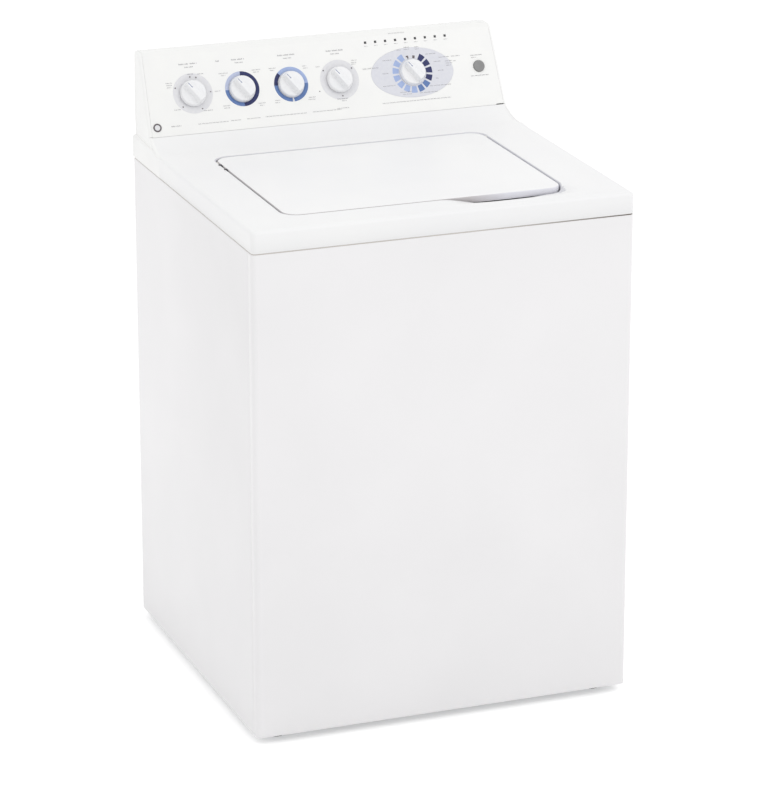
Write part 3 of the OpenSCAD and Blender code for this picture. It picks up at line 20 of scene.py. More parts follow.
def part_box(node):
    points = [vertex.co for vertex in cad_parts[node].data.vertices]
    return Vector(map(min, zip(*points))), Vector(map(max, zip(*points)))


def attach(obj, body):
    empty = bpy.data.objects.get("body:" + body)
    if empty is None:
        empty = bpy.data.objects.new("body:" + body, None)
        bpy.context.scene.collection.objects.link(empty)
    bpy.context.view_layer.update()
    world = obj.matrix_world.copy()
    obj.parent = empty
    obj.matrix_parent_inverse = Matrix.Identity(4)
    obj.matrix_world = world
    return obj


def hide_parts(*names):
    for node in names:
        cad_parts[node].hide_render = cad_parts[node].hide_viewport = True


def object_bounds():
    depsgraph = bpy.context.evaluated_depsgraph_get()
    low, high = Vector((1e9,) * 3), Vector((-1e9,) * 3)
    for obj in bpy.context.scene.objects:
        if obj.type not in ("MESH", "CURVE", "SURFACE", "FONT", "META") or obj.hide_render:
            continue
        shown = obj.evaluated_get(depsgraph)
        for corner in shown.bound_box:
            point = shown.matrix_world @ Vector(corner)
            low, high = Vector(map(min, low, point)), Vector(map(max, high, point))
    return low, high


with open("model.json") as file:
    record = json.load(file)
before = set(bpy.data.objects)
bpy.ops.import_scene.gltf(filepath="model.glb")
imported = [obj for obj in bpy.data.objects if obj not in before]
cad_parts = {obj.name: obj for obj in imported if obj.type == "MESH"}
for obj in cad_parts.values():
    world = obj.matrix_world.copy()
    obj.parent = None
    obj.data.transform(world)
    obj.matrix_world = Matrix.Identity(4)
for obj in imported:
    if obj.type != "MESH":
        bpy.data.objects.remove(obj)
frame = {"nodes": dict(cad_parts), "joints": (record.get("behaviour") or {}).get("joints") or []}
cad_low, cad_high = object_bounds()
print("the packed model spans", [round(v, 3) for v in cad_low], "to", [round(v, 3) for v in cad_high])

# %% [markdown]
# ## The sizes that everything else follows
#
# A size can be typed in again or read from the model. Reading it is better, because a piece then stays with
# its neighbour when the neighbour changes. So the cabinet, the lid and the dials are measured here, and only
# the small sizes that the solids don't hold are written as numbers.

# %% Measure the frame
MM = 0.001
joints = {joint["name"]: joint for joint in frame["joints"]}


def corners(node):
    """The lowest and highest corner of a solid, as arrays."""
    low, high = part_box(node)
    return np.array(low), np.array(high)


height = cad_high.z
half_w = (cad_high.x - cad_low.x) / 2
front_y = cad_low.y
wrapper_low, wrapper_high = corners("cabinet_wrapper")
_, panel_high = corners("front_panel")
lid_low, lid_high = corners("lid")
liner_low, _ = corners("lid_liner")
cap_low, _ = corners("end_cap_right")
deck = lid_high[2]
lid_centre = (lid_low + lid_high) / 2
lid_w, lid_d, _ = lid_high - lid_low
split_y = panel_high[1]
print("deck at", round(deck, 4), "lid", round(lid_w, 4), "x", round(lid_d, 4), "console top at",
      round(height, 4))

# %% Places on the console's sloping face
face_normal = -np.array(joints["start_press"]["axis"])
face_normal /= np.linalg.norm(face_normal)
tilt = math.asin(face_normal[2])
face_up = np.array([0.0, math.sin(tilt), math.cos(tilt)])
load_axis = np.array(joints["load_dial"]["pos_m"])
KNOB_UP = 73 * MM  # from the foot of the face up the slope to the middle of the load dial
seam = np.array([0.0, *(load_axis[1:] - KNOB_UP * face_up[1:])])


def on_face(x, up, out=0.0):
    """Points on the console's face: x across, `up` along the slope from its foot, `out` square to it."""
    x, up, out = np.broadcast_arrays(x, up, out)
    return seam + x[..., None] * [1.0, 0.0, 0.0] + up[..., None] * face_up + out[..., None] * face_normal


dial_names = ["load_dial", "rinse_dial", "temperature_dial", "option_dial", "cycle_dial"]
dials = {}
for name in dial_names:
    middle = np.array(joints[name]["pos_m"])
    dials[name] = (joints[name]["pos_m"][0], (middle - seam) @ face_up)
print("the face leans back", round(math.degrees(tilt), 1), "degrees; dials at", dials)

# %% [markdown]
# ## Tools for making surfaces
#
# Blender can be given a mesh in three ways: by its operators, one vertex at a time through bmesh, or as whole
# arrays. Arrays are the quickest and the easiest to read, so a shape here is a pair: an array of points, and
# a list of arrays of faces. A grid of points becomes a sheet of quads; where a grid closes on itself, the
# last row is joined to the first. Points that fall together, as at the pole of a dome, are merged at the end.

# %% Surfaces as arrays
def sheet(points, close_u=False, close_v=False):
    """A grid of points (m, n, 3) as a shape. A quad joins each point to its neighbours along both
    directions."""
    points = np.asarray(points, float)
    m, n = points.shape[:2]
    index = np.arange(m * n).reshape(m, n)
    u = np.arange(m if close_u else m - 1)[:, None]
    v = np.arange(n if close_v else n - 1)[None, :]
    u2, v2 = (u + 1) % m, (v + 1) % n
    quads = np.stack([index[u, v], index[u2, v], index[u2, v2], index[u, v2]], -1)
    return points.reshape(-1, 3), [quads.reshape(-1, 4)]


def joined(*shapes):
    """Several shapes as one: the faces of each are shifted past the points of those before it."""
    points, faces, start = [], [], 0
    for own, groups in shapes:
        points.append(own)
        faces += [group + start for group in groups]
        start += len(own)
    return np.concatenate(points), faces


def turned_over(shape):
    """The same surface with its outside inward."""
    return shape[0], [group[:, ::-1] for group in shape[1]]


def moved(shape, change):
    """The shape with its points put through a function of the whole array."""
    return change(shape[0]), shape[1]


def filled(outline, holes=()):
    """A flat shape inside an outline and outside its holes, all given as (n, 2) arrays of points. The
    triangles are a Delaunay triangulation that keeps the edges of every loop. The holes have no corners that
    turn inwards, so a triangle with all its corners on one hole lies in that hole and is left out."""
    loops = [np.asarray(loop, float) for loop in (outline, *holes)]
    starts = np.cumsum([0] + [len(loop) for loop in loops])
    owner = np.repeat(np.arange(len(loops)), [len(loop) for loop in loops])
    edges = [(int(start + i), int(start + (i + 1) % len(loop)))
             for start, loop in zip(starts, loops) for i in range(len(loop))]
    points = [Vector(point) for point in np.concatenate(loops)]
    flat, _, triangles, *_ = delaunay_2d_cdt(points, edges, [], 1, 1e-9)
    flat, triangles = np.array(flat), np.array(triangles)
    a, b, c = (flat[triangles[:, i]] for i in range(3))
    turn = (b[:, 0] - a[:, 0]) * (c[:, 1] - a[:, 1]) - (b[:, 1] - a[:, 1]) * (c[:, 0] - a[:, 0])
    triangles[turn < 0] = triangles[turn < 0][:, ::-1]
    on = owner[triangles]
    in_hole = (on[:, 0] == on[:, 1]) & (on[:, 1] == on[:, 2]) & (on[:, 0] > 0)
    return np.column_stack([flat, np.zeros(len(flat))]), [triangles[~in_hole & (np.abs(turn) > 1e-14)]]


def slab(outline, low, high, soft):
    """A flat plate between two heights with its upper edge rounded off by `soft`, as a closed shape. The
    rounding moves the outline inward along its own normals while it climbs the last stretch."""
    loop = np.asarray(outline, float)
    inward = loop_normals(loop)
    rings = [np.column_stack([loop, np.full(len(loop), low)])]
    for a in np.linspace(0, math.pi / 2, 4):
        edge = loop + inward * soft * (1 - math.cos(a))
        rings.append(np.column_stack([edge, np.full(len(loop), high - soft + soft * math.sin(a))]))
    top, base = filled(rings[-1][:, :2]), filled(loop)
    top[0][:, 2] = high
    base[0][:, 2] = low
    return joined(turned_over(sheet(rings, close_v=True)), top, turned_over(base))


def loop_normals(loop):
    """Unit normals to the left of a closed loop, from the chord between each point's neighbours."""
    chord = np.roll(loop, -1, axis=0) - np.roll(loop, 1, axis=0)
    normals = np.column_stack([-chord[:, 1], chord[:, 0]])
    return normals / np.maximum(np.linalg.norm(normals, axis=1, keepdims=True), 1e-12)


# %% Outlines and profiles
def circle(radius, count=48, centre=(0.0, 0.0)):
    """Points of a circle, anticlockwise."""
    a = np.arange(count) * 2 * math.pi / count
    return np.column_stack([centre[0] + radius * np.cos(a), centre[1] + radius * np.sin(a)])


def round_box(w, d, r, centre=(0.0, 0.0), corner=10):
    """A rectangle with round corners, anticlockwise from the foot of its upper right corner. Every such
    outline with the same count has its points in the same order, so that two of them can be joined ring to
    ring."""
    quarter = np.linspace(0, math.pi / 2, corner + 1)
    loop = []
    for turn, (sx, sy) in enumerate(((1, 1), (-1, 1), (-1, -1), (1, -1))):
        a = quarter + turn * math.pi / 2
        loop.append(np.column_stack([sx * (w / 2 - r) + r * np.cos(a), sy * (d / 2 - r) + r * np.sin(a)]))
    return np.concatenate(loop) + np.asarray(centre)


def arc(centre, radius, start, end, count=8):
    """Points of an arc between two angles in degrees."""
    a = np.radians(np.linspace(start, end, count + 1))
    return np.column_stack([centre[0] + radius * np.cos(a), centre[1] + radius * np.sin(a)])


def spaced(points, gap):
    """The polyline with extra points, so that no step is longer than `gap`. The corners stay."""
    points = np.asarray(points, float)
    lengths = np.linalg.norm(np.diff(points, axis=0), axis=1)
    pieces = []
    for start, end, length in zip(points[:-1], points[1:], lengths):
        share = np.linspace(0, 1, max(1, math.ceil(length / gap)), endpoint=False)[:, None]
        pieces.append(start + (end - start) * share)
    return np.concatenate([*pieces, points[-1:]])


def turned(profile, count=96, centre=(0.0, 0.0)):
    """A profile of (radius, height) points carried round an upright axis. The angle is one parameter and the
    place along the profile the other: x = r cos a, y = r sin a, z = height."""
    profile = np.asarray(profile, float)
    a = np.arange(count)[:, None] * 2 * math.pi / count
    points = np.stack([
        centre[0] + profile[:, 0] * np.cos(a), centre[1] + profile[:, 0] * np.sin(a),
        profile[:, 1] + np.zeros_like(a)], -1)
    return sheet(points, close_u=True)


def swept(path, radius, count=12):
    """A round tube along a path, drawn to a point at both ends. Each ring stands square to the path, on two
    directions worked out from the tangent and a fixed side direction."""
    path = np.asarray(path, float)
    tangent = np.gradient(path, axis=0)
    tangent /= np.linalg.norm(tangent, axis=1, keepdims=True)
    side = np.cross(tangent, np.where(np.abs(tangent[:, [2]]) < 0.9, [[0.0, 0.0, 1.0]], [[1.0, 0.0, 0.0]]))
    side /= np.linalg.norm(side, axis=1, keepdims=True)
    other = np.cross(tangent, side)
    a = np.arange(count) * 2 * math.pi / count
    radius = np.broadcast_to(radius, len(path))[:, None, None]
    ring = side[:, None] * np.cos(a)[None, :, None] + other[:, None] * np.sin(a)[None, :, None]
    first, last = (np.broadcast_to(end, (1, count, 3)) for end in (path[0], path[-1]))
    return sheet(np.concatenate([first, path[:, None] + radius * ring, last]), close_v=True)


print("surface tools ready")

# %% [markdown]
# ## From arrays to a finished piece
#
# A piece needs more than its faces: coincident points merged, normals outward, shading that is smooth over
# curves and crisp at edges, a material, a body to ride on, and the solid that it replaces hidden. One function
# does all of it, so that no piece can miss a step. Sheet metal is made as a single skin and given its gauge by
# a Solidify modifier, which is simpler and more even than modelling both sides.

# %% Make a piece
def build_mesh(name, shape):
    """A mesh from arrays: the points and the corner lists go in with foreach_set."""
    points, groups = shape
    groups = [g for g in groups if len(g)]
    mesh = bpy.data.meshes.new(name)
    mesh.vertices.add(len(points))
    mesh.vertices.foreach_set("co", points.astype(np.float32).ravel())
    sizes = np.concatenate([np.full(len(g), g.shape[1]) for g in groups])
    loops = np.concatenate([g.ravel() for g in groups])
    mesh.loops.add(len(loops))
    mesh.loops.foreach_set("vertex_index", loops.astype(np.int32))
    mesh.polygons.add(len(sizes))
    mesh.polygons.foreach_set("loop_start", (np.cumsum(sizes) - sizes).astype(np.int32))
    mesh.update(calc_edges=True)
    return mesh


def weld(mesh, outward, distance):
    """Merges coincident points, drops what collapsed, and can turn a closed shell's normals outward."""
    work = bmesh.new()
    work.from_mesh(mesh)
    bmesh.ops.remove_doubles(work, verts=work.verts, dist=distance)
    bmesh.ops.dissolve_degenerate(work, edges=work.edges, dist=distance / 4)
    if outward:
        bmesh.ops.recalc_face_normals(work, faces=work.faces)
    work.to_mesh(mesh)
    work.free()


def sharpen_rims(mesh):
    """Marks the open edges of a skin sharp, so that its flats shade flat right up to a hole once it has a
    gauge."""
    used = np.zeros(len(mesh.loops), np.int32)
    mesh.loops.foreach_get("edge_index", used)
    sharp = np.zeros(len(mesh.edges), bool)
    mesh.edges.foreach_get("use_edge_sharp", sharp)
    mesh.edges.foreach_set("use_edge_sharp", sharp | (np.bincount(used, minlength=len(mesh.edges)) == 1))


def piece(name, shape, body, material, replaces=None, gauge=0.0, bevel=0.0, crease=35, outward=True,
          distance=1e-6, bands=None):
    """Makes one finished piece. `gauge` thickens a skin on the side away from its normals, `bevel` softens
    its sharp edges, and `bands` is a function that gives each face's material number from the faces'
    middles."""
    mesh = build_mesh(name, shape)
    weld(mesh, outward, distance)
    materials = material if isinstance(material, (list, tuple)) else [material]
    for entry in materials:
        mesh.materials.append(entry)
    if bands is not None:
        middles = np.zeros(len(mesh.polygons) * 3)
        mesh.polygons.foreach_get("center", middles)
        mesh.polygons.foreach_set("material_index", bands(middles.reshape(-1, 3)).astype(np.int32))
    mesh.polygons.foreach_set("use_smooth", np.ones(len(mesh.polygons), bool))
    mesh.set_sharp_from_angle(angle=math.radians(crease))
    made = bpy.data.objects.new(name, mesh)
    bpy.context.scene.collection.objects.link(made)
    if gauge:
        sharpen_rims(mesh)
        thick = made.modifiers.new("gauge", "SOLIDIFY")
        thick.thickness, thick.offset = gauge, -1.0
    if bevel:
        soft = made.modifiers.new("soft edges", "BEVEL")
        soft.width, soft.segments, soft.limit_method = bevel, 2, "ANGLE"
        soft.angle_limit, soft.harden_normals = math.radians(40), True
    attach(made, body)
    if replaces:
        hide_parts(replaces)
    print(f"{name}: {len(mesh.vertices)} points, {len(mesh.polygons)} faces")
    return made


# %% [markdown]
# ## Finishes
#
# A real surface is never one flat colour. Sprayed enamel has a faint orange peel, a moulding has a fine
# tooled grain, and spun or rolled steel keeps the lines of the tool. Each finish below is a Principled shader
# with three things added: a slow drift of colour, a drift of roughness, and a fine relief. The patterns read
# Object coordinates. Every piece has its place in its mesh, so these are metres in the machine's own frame
# and a pattern keeps its scale on every piece.

# %% Shader helpers
def paint(code):
    """A colour written as #RRGGBB, as the linear values that a socket takes."""
    channel = np.array([int(code[i:i + 2], 16) for i in (1, 3, 5)]) / 255
    linear = np.where(channel <= 0.04045, channel / 12.92, ((channel + 0.055) / 1.055) ** 2.4)
    return (*linear.tolist(), 1.0)


def finish(name, code, rough, **sockets):
    """A new material and its node tree. Keyword names are socket names in small letters with underscores."""
    made = bpy.data.materials.new(name)
    made.use_nodes = True
    shader = made.node_tree.nodes["Principled BSDF"]
    named = {socket.name.lower().replace(" ", "_"): socket for socket in shader.inputs}
    named["base_color"].default_value = paint(code)
    named["roughness"].default_value = rough
    for socket, value in sockets.items():
        named[socket].default_value = value
    return made, made.node_tree


def pattern(tree, kind="Noise", scale=100.0, stretch=(1.0, 1.0, 1.0), **settings):
    """A texture on Object coordinates; `stretch` multiplies the coordinates along each axis."""
    place = tree.nodes.new("ShaderNodeTexCoord")
    mapping = tree.nodes.new("ShaderNodeMapping")
    mapping.inputs["Scale"].default_value = stretch
    texture = tree.nodes.new(f"ShaderNodeTex{kind}")
    texture.inputs["Scale"].default_value = scale
    for socket, value in settings.items():
        texture.inputs[socket.title()].default_value = value
    tree.links.new(place.outputs["Object"], mapping.inputs["Vector"])
    tree.links.new(mapping.outputs["Vector"], texture.inputs["Vector"])
    return texture.outputs["Distance" if kind == "Voronoi" else "Fac"]


def ranged(tree, value, low, high, start=0.3, end=0.7):
    """The value taken from one range to another and held at its ends."""
    node = tree.nodes.new("ShaderNodeMapRange")
    for socket, number in (("From Min", start), ("From Max", end), ("To Min", low), ("To Max", high)):
        node.inputs[socket].default_value = number
    tree.links.new(value, node.inputs["Value"])
    return node.outputs["Result"]


def drift(tree, value, first, second):
    """Colour that wanders between two paints as the value goes from 0.3 to 0.7."""
    mix = tree.nodes.new("ShaderNodeMix")
    mix.data_type = "RGBA"
    mix.inputs["A"].default_value, mix.inputs["B"].default_value = paint(first), paint(second)
    tree.links.new(ranged(tree, value, 0, 1), mix.inputs["Factor"])
    tree.links.new(mix.outputs["Result"], tree.nodes["Principled BSDF"].inputs["Base Color"])


def gloss(tree, value, low, high):
    """Roughness that wanders between two numbers."""
    tree.links.new(ranged(tree, value, low, high), tree.nodes["Principled BSDF"].inputs["Roughness"])


def relief(tree, value, depth):
    """Fine relief: the value is a height of `depth` metres."""
    bump = tree.nodes.new("ShaderNodeBump")
    bump.inputs["Strength"].default_value = 1.0
    bump.inputs["Distance"].default_value = depth
    tree.links.new(value, bump.inputs["Height"])
    tree.links.new(bump.outputs["Normal"], tree.nodes["Principled BSDF"].inputs["Normal"])


# %% [markdown]
# ### Paint and mouldings
#
# The cabinet is white enamel, sprayed and baked: a thin coat over the colour gives the gloss, and the peel is
# about two millimetres across and a micron or two deep. The mouldings have little coat or none. Their grain
# is finer and deeper, so they look softer than the steel beside them.

# %% Recipes for paint and plastic
def enamel(name, first, second, rough=0.36, coat=0.2):
    """Baked enamel: a drifting white under a coat, with orange peel."""
    made, tree = finish(name, first, rough, coat_weight=coat, coat_roughness=0.32, specular_ior_level=0.4)
    drift(tree, pattern(tree, scale=5, detail=2), first, second)
    gloss(tree, pattern(tree, scale=12, detail=2), rough - 0.01, rough + 0.02)
    relief(tree, pattern(tree, scale=420, detail=1), 0.0000015)
    return made


def moulding(name, first, second, rough=0.42, grain=900, depth=0.00001, **sockets):
    """Moulded plastic: a tooled grain, and a drift of colour and gloss that comes from flow and handling."""
    made, tree = finish(name, first, rough, **sockets)
    drift(tree, pattern(tree, scale=24, detail=3), first, second)
    gloss(tree, pattern(tree, scale=60, detail=4), rough - 0.05, rough + 0.06)
    relief(tree, pattern(tree, scale=grain, detail=2), depth)
    return made


cabinet_enamel = enamel("cabinet_enamel", "#F1F0F1", "#EEEDEE")
cover_enamel = enamel("cover_enamel", "#F4F4F4", "#F1F1F2", rough=0.4)
lid_enamel = enamel("lid_enamel", "#F5F5F5", "#F2F2F3", rough=0.4)
liner_enamel = enamel("liner_enamel", "#EDEDED", "#E8E9EA", rough=0.36, coat=0.15)
face_paint = moulding("face_paint", "#F4F4F2", "#F2F2F1", rough=0.36, coat_weight=0.15)
cap_plastic = moulding("cap_plastic", "#F8F8F7", "#F6F6F5", rough=0.4, grain=1100)
knob_plastic = moulding("knob_plastic", "#F1F1F2", "#EDEEF0", rough=0.3, coat_weight=0.2)
knob_line = moulding("knob_line", "#8E97B4", "#848DAB", rough=0.4)
button_plastic = moulding("button_plastic", "#8C8C8C", "#868686", rough=0.38, grain=1400)
switch_plastic = moulding("switch_plastic", "#D9D5C8", "#D2CDBF", rough=0.5)
cup_plastic = moulding("cup_plastic", "#DFE3E8", "#D6DCE4", rough=0.34, subsurface_weight=0.08)
ring_plastic = moulding("ring_plastic", "#E9EBEE", "#E0E3E8", rough=0.38)
tub_plastic = moulding("tub_plastic", "#DCDDD9", "#D2D3D0", rough=0.48, grain=500, depth=0.00002)
agitator_plastic = moulding("agitator_plastic", "#F0F0EE", "#E7E8E8", rough=0.3, coat_weight=0.15)
acetal = moulding("acetal", "#EAE8E0", "#E2E0D8", rough=0.36)
pump_plastic = moulding("pump_plastic", "#C9CBCB", "#BFC2C3", rough=0.5, grain=600, depth=0.00002)
plunger_plastic = moulding("plunger_plastic", "#B9452F", "#A93C29", rough=0.4)
dark_plastic = moulding("dark_plastic", "#2B2B2D", "#232325", rough=0.5, grain=700)
lamp_lens = moulding("lamp_lens", "#1E1D22", "#26252B", rough=0.16, grain=2000, coat_weight=0.5)


def across_the_front(material, first, second, start, end):
    """The colour goes from one paint to another between two places across the machine: a painted shade that
    changes along a gap, as the gap's shadow does where it widens. It takes over from the material's own drift
    of colour."""
    tree = material.node_tree
    place, axes = tree.nodes.new("ShaderNodeTexCoord"), tree.nodes.new("ShaderNodeSeparateXYZ")
    tree.links.new(place.outputs["Object"], axes.inputs[0])
    drift(tree, ranged(tree, axes.outputs["X"], 0.3, 0.7, start, end), first, second)
    return material


# Painted shade: the cabinet's lip in the gap under the cover is coloured brown-grey as the gap's shadow, light
# at the left and dark to the right.
foot_seam = across_the_front(
    moulding("foot_seam", "#C2BCB6", "#7E766E", rough=0.8), "#C9C4BF", "#6E665F", 0.08, 0.33)
print("materials so far, with the frame's own:", len(bpy.data.materials))

# %% [markdown]
# ### Inks
#
# The small print and the coloured bands are screen-printed: a film of ink a few microns thick, a little
# glossier than the paint under it, and never quite even at its edge. One recipe serves for each ink.

# %% Printing inks
def ink(name, first, second):
    """A printed film: its colour drifts with the thickness of the ink."""
    made, tree = finish(name, first, 0.42, specular_ior_level=0.4)
    drift(tree, pattern(tree, scale=180, detail=4), first, second)
    gloss(tree, pattern(tree, scale=420, detail=3), 0.38, 0.5)
    return made


inks = {
    "navy": ink("ink_navy", "#232B5C", "#2C3366"),
    "steel": ink("ink_steel", "#5B78AF", "#6582B7"),
    "sky": ink("ink_sky", "#9FB2DC", "#A8BAE1"),
    "haze": ink("ink_haze", "#C3CBE3", "#BAC3DE"),
    "plate": ink("ink_plate", "#DFE0E6", "#DADBE3"),
    "brown": ink("ink_brown", "#6B6467", "#5F595D"),
    "grey": ink("ink_grey", "#8F8E92", "#858489"),
    "pale": ink("ink_pale", "#E6E6E8", "#E0E0E4"),
}
print("inks:", ", ".join(inks))

# %% [markdown]
# ### Metals and rubber
#
# Steel takes five finishes here: galvanised sheet with its frost-like spangle, zinc-plated fasteners, dark
# spring wire, ground shafts, and the basket. The spangle is a Voronoi pattern, because zinc freezes from many
# seeds and each crystal ends where it meets its neighbour. The lines of the basket run round it, so its
# pattern is squeezed along the height until the grains are flat streaks.

# %% Recipes for metal and rubber
def plated(name, first, second, rough, cell=120, depth=0.00001, metallic=1.0):
    """Bare or plated metal: cells of two tones, with roughness that follows them."""
    made, tree = finish(name, first, rough, metallic=metallic)
    crystals = pattern(tree, "Voronoi", scale=cell)
    drift(tree, crystals, first, second)
    gloss(tree, crystals, rough - 0.06, rough + 0.08)
    relief(tree, pattern(tree, scale=cell * 6, detail=3), depth)
    return made


def lined(name, first, second, rough, stretch, metallic=1.0):
    """Metal with tool lines: a noise squeezed along one axis until its grains are streaks."""
    made, tree = finish(name, first, rough, metallic=metallic)
    streaks = pattern(tree, scale=60, stretch=stretch, detail=4)
    drift(tree, streaks, first, second)
    gloss(tree, streaks, rough - 0.06, rough + 0.08)
    relief(tree, streaks, 0.000006)
    return made


frame_steel = plated("frame_steel", "#B9BCBF", "#A4A8AC", 0.42, cell=90)
zinc_hardware = plated("zinc_hardware", "#C4C6C8", "#B0B3B6", 0.34, cell=300)
spring_steel = plated("spring_steel", "#6E7074", "#5D5F63", 0.4, cell=400)
steel_shaft = lined("steel_shaft", "#C7C9CC", "#B4B6BA", 0.25, (1, 1, 14))
basket_steel = lined("basket_steel", "#DADDE0", "#CBCFD3", 0.42, (1, 1, 16), metallic=0.75)
cast_alloy = plated("cast_alloy", "#A8ABAD", "#94979A", 0.55, cell=260, depth=0.00004, metallic=0.9)
motor_paint = moulding("motor_paint", "#2A2B2E", "#333437", rough=0.45, grain=300, depth=0.00003)
board_green = moulding("board_green", "#2F6B3C", "#285F35", rough=0.4, grain=200)
rubber_black = moulding("rubber_black", "#2B2A29", "#343331", rough=0.75, grain=700, depth=0.00003)
hose_grey = moulding("hose_grey", "#6B6E73", "#626569", rough=0.6, grain=500, depth=0.00003)
buffer_grey = moulding("buffer_grey", "#4A494D", "#403F43", rough=0.6, grain=900)
# Painted shade: the wall of the recess beside the lid is coloured greyer as the gap's shadow.
gap_shade = moulding("gap_shade", "#DDDDE1", "#D6D6DB", rough=0.6)
# Painted shade: the lid's rolled edge is coloured greyer as the shade of the gap round the lid, and darker at
# the front left, where that gap shows as a dark line.
lid_edge = across_the_front(
    moulding("lid_edge", "#E2E2E9", "#DDDDE5", rough=0.5), "#C3BFC0", "#E2E2E9", 0.07, 0.14)
print("all materials, with the frame's own:", len(bpy.data.materials))

# %% [markdown]
# ## The cabinet
#
# The cabinet is two pressings of one millimetre steel: a front panel that turns a little way round each side,
# and a wrapper that makes the sides and the back. A folded sheet is a path seen from above, carried up a
# profile of small offsets: in at the bottom for the flange, out round the rolled edge, straight up, and in
# again for the lip that the top cover slips over. So one function of the path and the profile gives every
# wall here.

# %% Folded walls
CABINET_CORNER = 9 * MM
ROLL = 1.2 * MM
LEAST_R = 0.4 * MM
FLANGE = 14 * MM
cabinet_low_z = wrapper_low[2]
cabinet_high_z = deck - 39 * MM
lip_high_z = wrapper_high[2]


def folded(plan, profile):
    """A folded sheet: plan(inset) is the path seen from above, moved in by an inset, and the profile lists
    (inset, height). Point (i, j) is the path's point i at inset j, at height j."""
    rings = []
    for inset, height_here in profile:
        path = plan(inset)
        rings.append(np.column_stack([path, np.full(len(path), height_here)]))
    return sheet(np.stack(rings, 1))


def foot_roll():
    """Flange and rolled edge at the bottom of a wall, as (inset, height)."""
    return [(FLANGE, cabinet_low_z), (ROLL, cabinet_low_z), (ROLL * 0.3, cabinet_low_z + ROLL * 0.3),
            (0.0, cabinet_low_z + ROLL)]


def head_roll():
    """Rolled edge and raised lip at the top of a wall."""
    return [(0.0, cabinet_high_z - ROLL), (ROLL * 0.3, cabinet_high_z - ROLL * 0.3), (ROLL, cabinet_high_z),
            (ROLL, lip_high_z)]


def seam_edge(x, y, side, way):
    """The rolled edge of a wall that meets its neighbour at y: a flange, a small roll, and the wall
    itself."""
    return [[x - side * FLANGE, y], [x - side * ROLL, y], [x - side * ROLL * 0.3, y + way * ROLL * 0.3],
            [x, y + way * ROLL]]


def panel_path(inset):
    """The front panel from above: from the left seam round both front corners to the right seam."""
    x, y, r = half_w - inset, front_y + inset, max(CABINET_CORNER - inset, LEAST_R)
    return np.concatenate([
        seam_edge(-x, split_y, -1, -1), arc((-x + r, y + r), r, 180, 270), arc((x - r, y + r), r, -90, 0),
        seam_edge(x, split_y, 1, -1)[::-1]])


def lip_shade_band(middles):
    """The lip that stands in the gap under the cover takes the gap's painted shade."""
    return (middles[:, 2] > cabinet_high_z + 0.1 * MM).astype(int)


wall_profile = foot_roll() + head_roll()
piece("front_panel_skin", folded(panel_path, wall_profile), "cabinet",
      [cabinet_enamel, foot_seam], replaces="front_panel", gauge=1 * MM, outward=False, bands=lip_shade_band)

# %% [markdown]
# The back of the wrapper carries the water inlets, the drain outlet, the cable gland and two banks of vents.
# A hole is easiest in a flat field, so the field is one polygon filled round its holes. The pressed bead in
# it, which stiffens the sheet, is a ring of offsets with the height of half a sine wave, squared so that it
# rises softly.

# %% The wrapper
FIELD_MARGIN = 14 * MM
BEAD_FROM_EDGE, BEAD_WIDTH, BEAD_HEIGHT, BEAD_CORNER = 30 * MM, 14 * MM, 2.4 * MM, 34 * MM
SERVICE_ROOM = 40 * MM
VENT_W, VENT_H, VENT_PITCH, VENT_X, VENT_Z = 60 * MM, 5 * MM, 18 * MM, 180 * MM, 120 * MM
PORT_X, PORT_SPACING, PORT_HOLE = 60 * MM, 56 * MM, 15.3 * MM
DRAIN_X, DRAIN_HOLE = -150 * MM, 16.3 * MM
GLAND_X, GLAND_HOLE = -230 * MM, 8.1 * MM
port_z, drain_z = deck - 64 * MM, deck - 94 * MM
cabinet_back = wrapper_high[1]


def side_path(side):
    """One side of the wrapper from above, from its seam round the back corner to the flat back."""
    def path(inset):
        x, y, r = half_w - inset, cabinet_back - inset, max(CABINET_CORNER - inset, LEAST_R)
        edge = seam_edge(x, split_y, 1, 1)
        run = np.concatenate([edge, arc((x - r, y - r), r, 0, 90), [[half_w - FIELD_MARGIN, y]]])
        return run if side > 0 else (run * [-1, 1])[::-1]
    return path


def back_path(inset):
    """The flat back between the two corners."""
    return np.array([[half_w - FIELD_MARGIN, cabinet_back - inset],
                     [-half_w + FIELD_MARGIN, cabinet_back - inset]])


def on_back(shape):
    """A flat shape drawn as seen from behind the machine (x to the left), set on the back."""
    return moved(shape, lambda p: np.column_stack([-p[:, 0], cabinet_back + p[:, 2], p[:, 1]]))


def ring_between(outlines, heights):
    """Rings of equal counts joined in order, from the outermost in: a bead when the heights rise and fall."""
    rings = [np.column_stack([loop, np.full(len(loop), h)]) for loop, h in zip(outlines, heights)]
    return sheet(np.stack(rings, 1), close_u=True)


field_w = 2 * (half_w - FIELD_MARGIN)
field_low, field_high = cabinet_low_z + ROLL, cabinet_high_z - ROLL
field_z, field_h = (field_low + field_high) / 2, field_high - field_low
bead_low, bead_high = field_low + BEAD_FROM_EDGE, drain_z - SERVICE_ROOM
bead_z, bead_h = (bead_low + bead_high) / 2, bead_high - bead_low
bead_share = np.linspace(0, 1, 13)
bead_loops = [round_box(field_w - 2 * BEAD_FROM_EDGE - 2 * BEAD_WIDTH * t, bead_h - 2 * BEAD_WIDTH * t,
                        BEAD_CORNER - BEAD_WIDTH * t, (0, bead_z)) for t in [-0.2, *bead_share, 1.2]]
bead = ring_between(bead_loops, BEAD_HEIGHT * np.sin(math.pi * np.array([0, *bead_share, 1])) ** 2)
edge_loop = np.array([[-1, -1], [1, -1], [1, 1], [-1, 1]]) * [field_w / 2, field_h / 2] + [0, field_z]
vents = [round_box(VENT_W, VENT_H, VENT_H * 0.49, (side * VENT_X, VENT_Z + i * VENT_PITCH), corner=5)
         for side in (-1, 1) for i in range(5)]
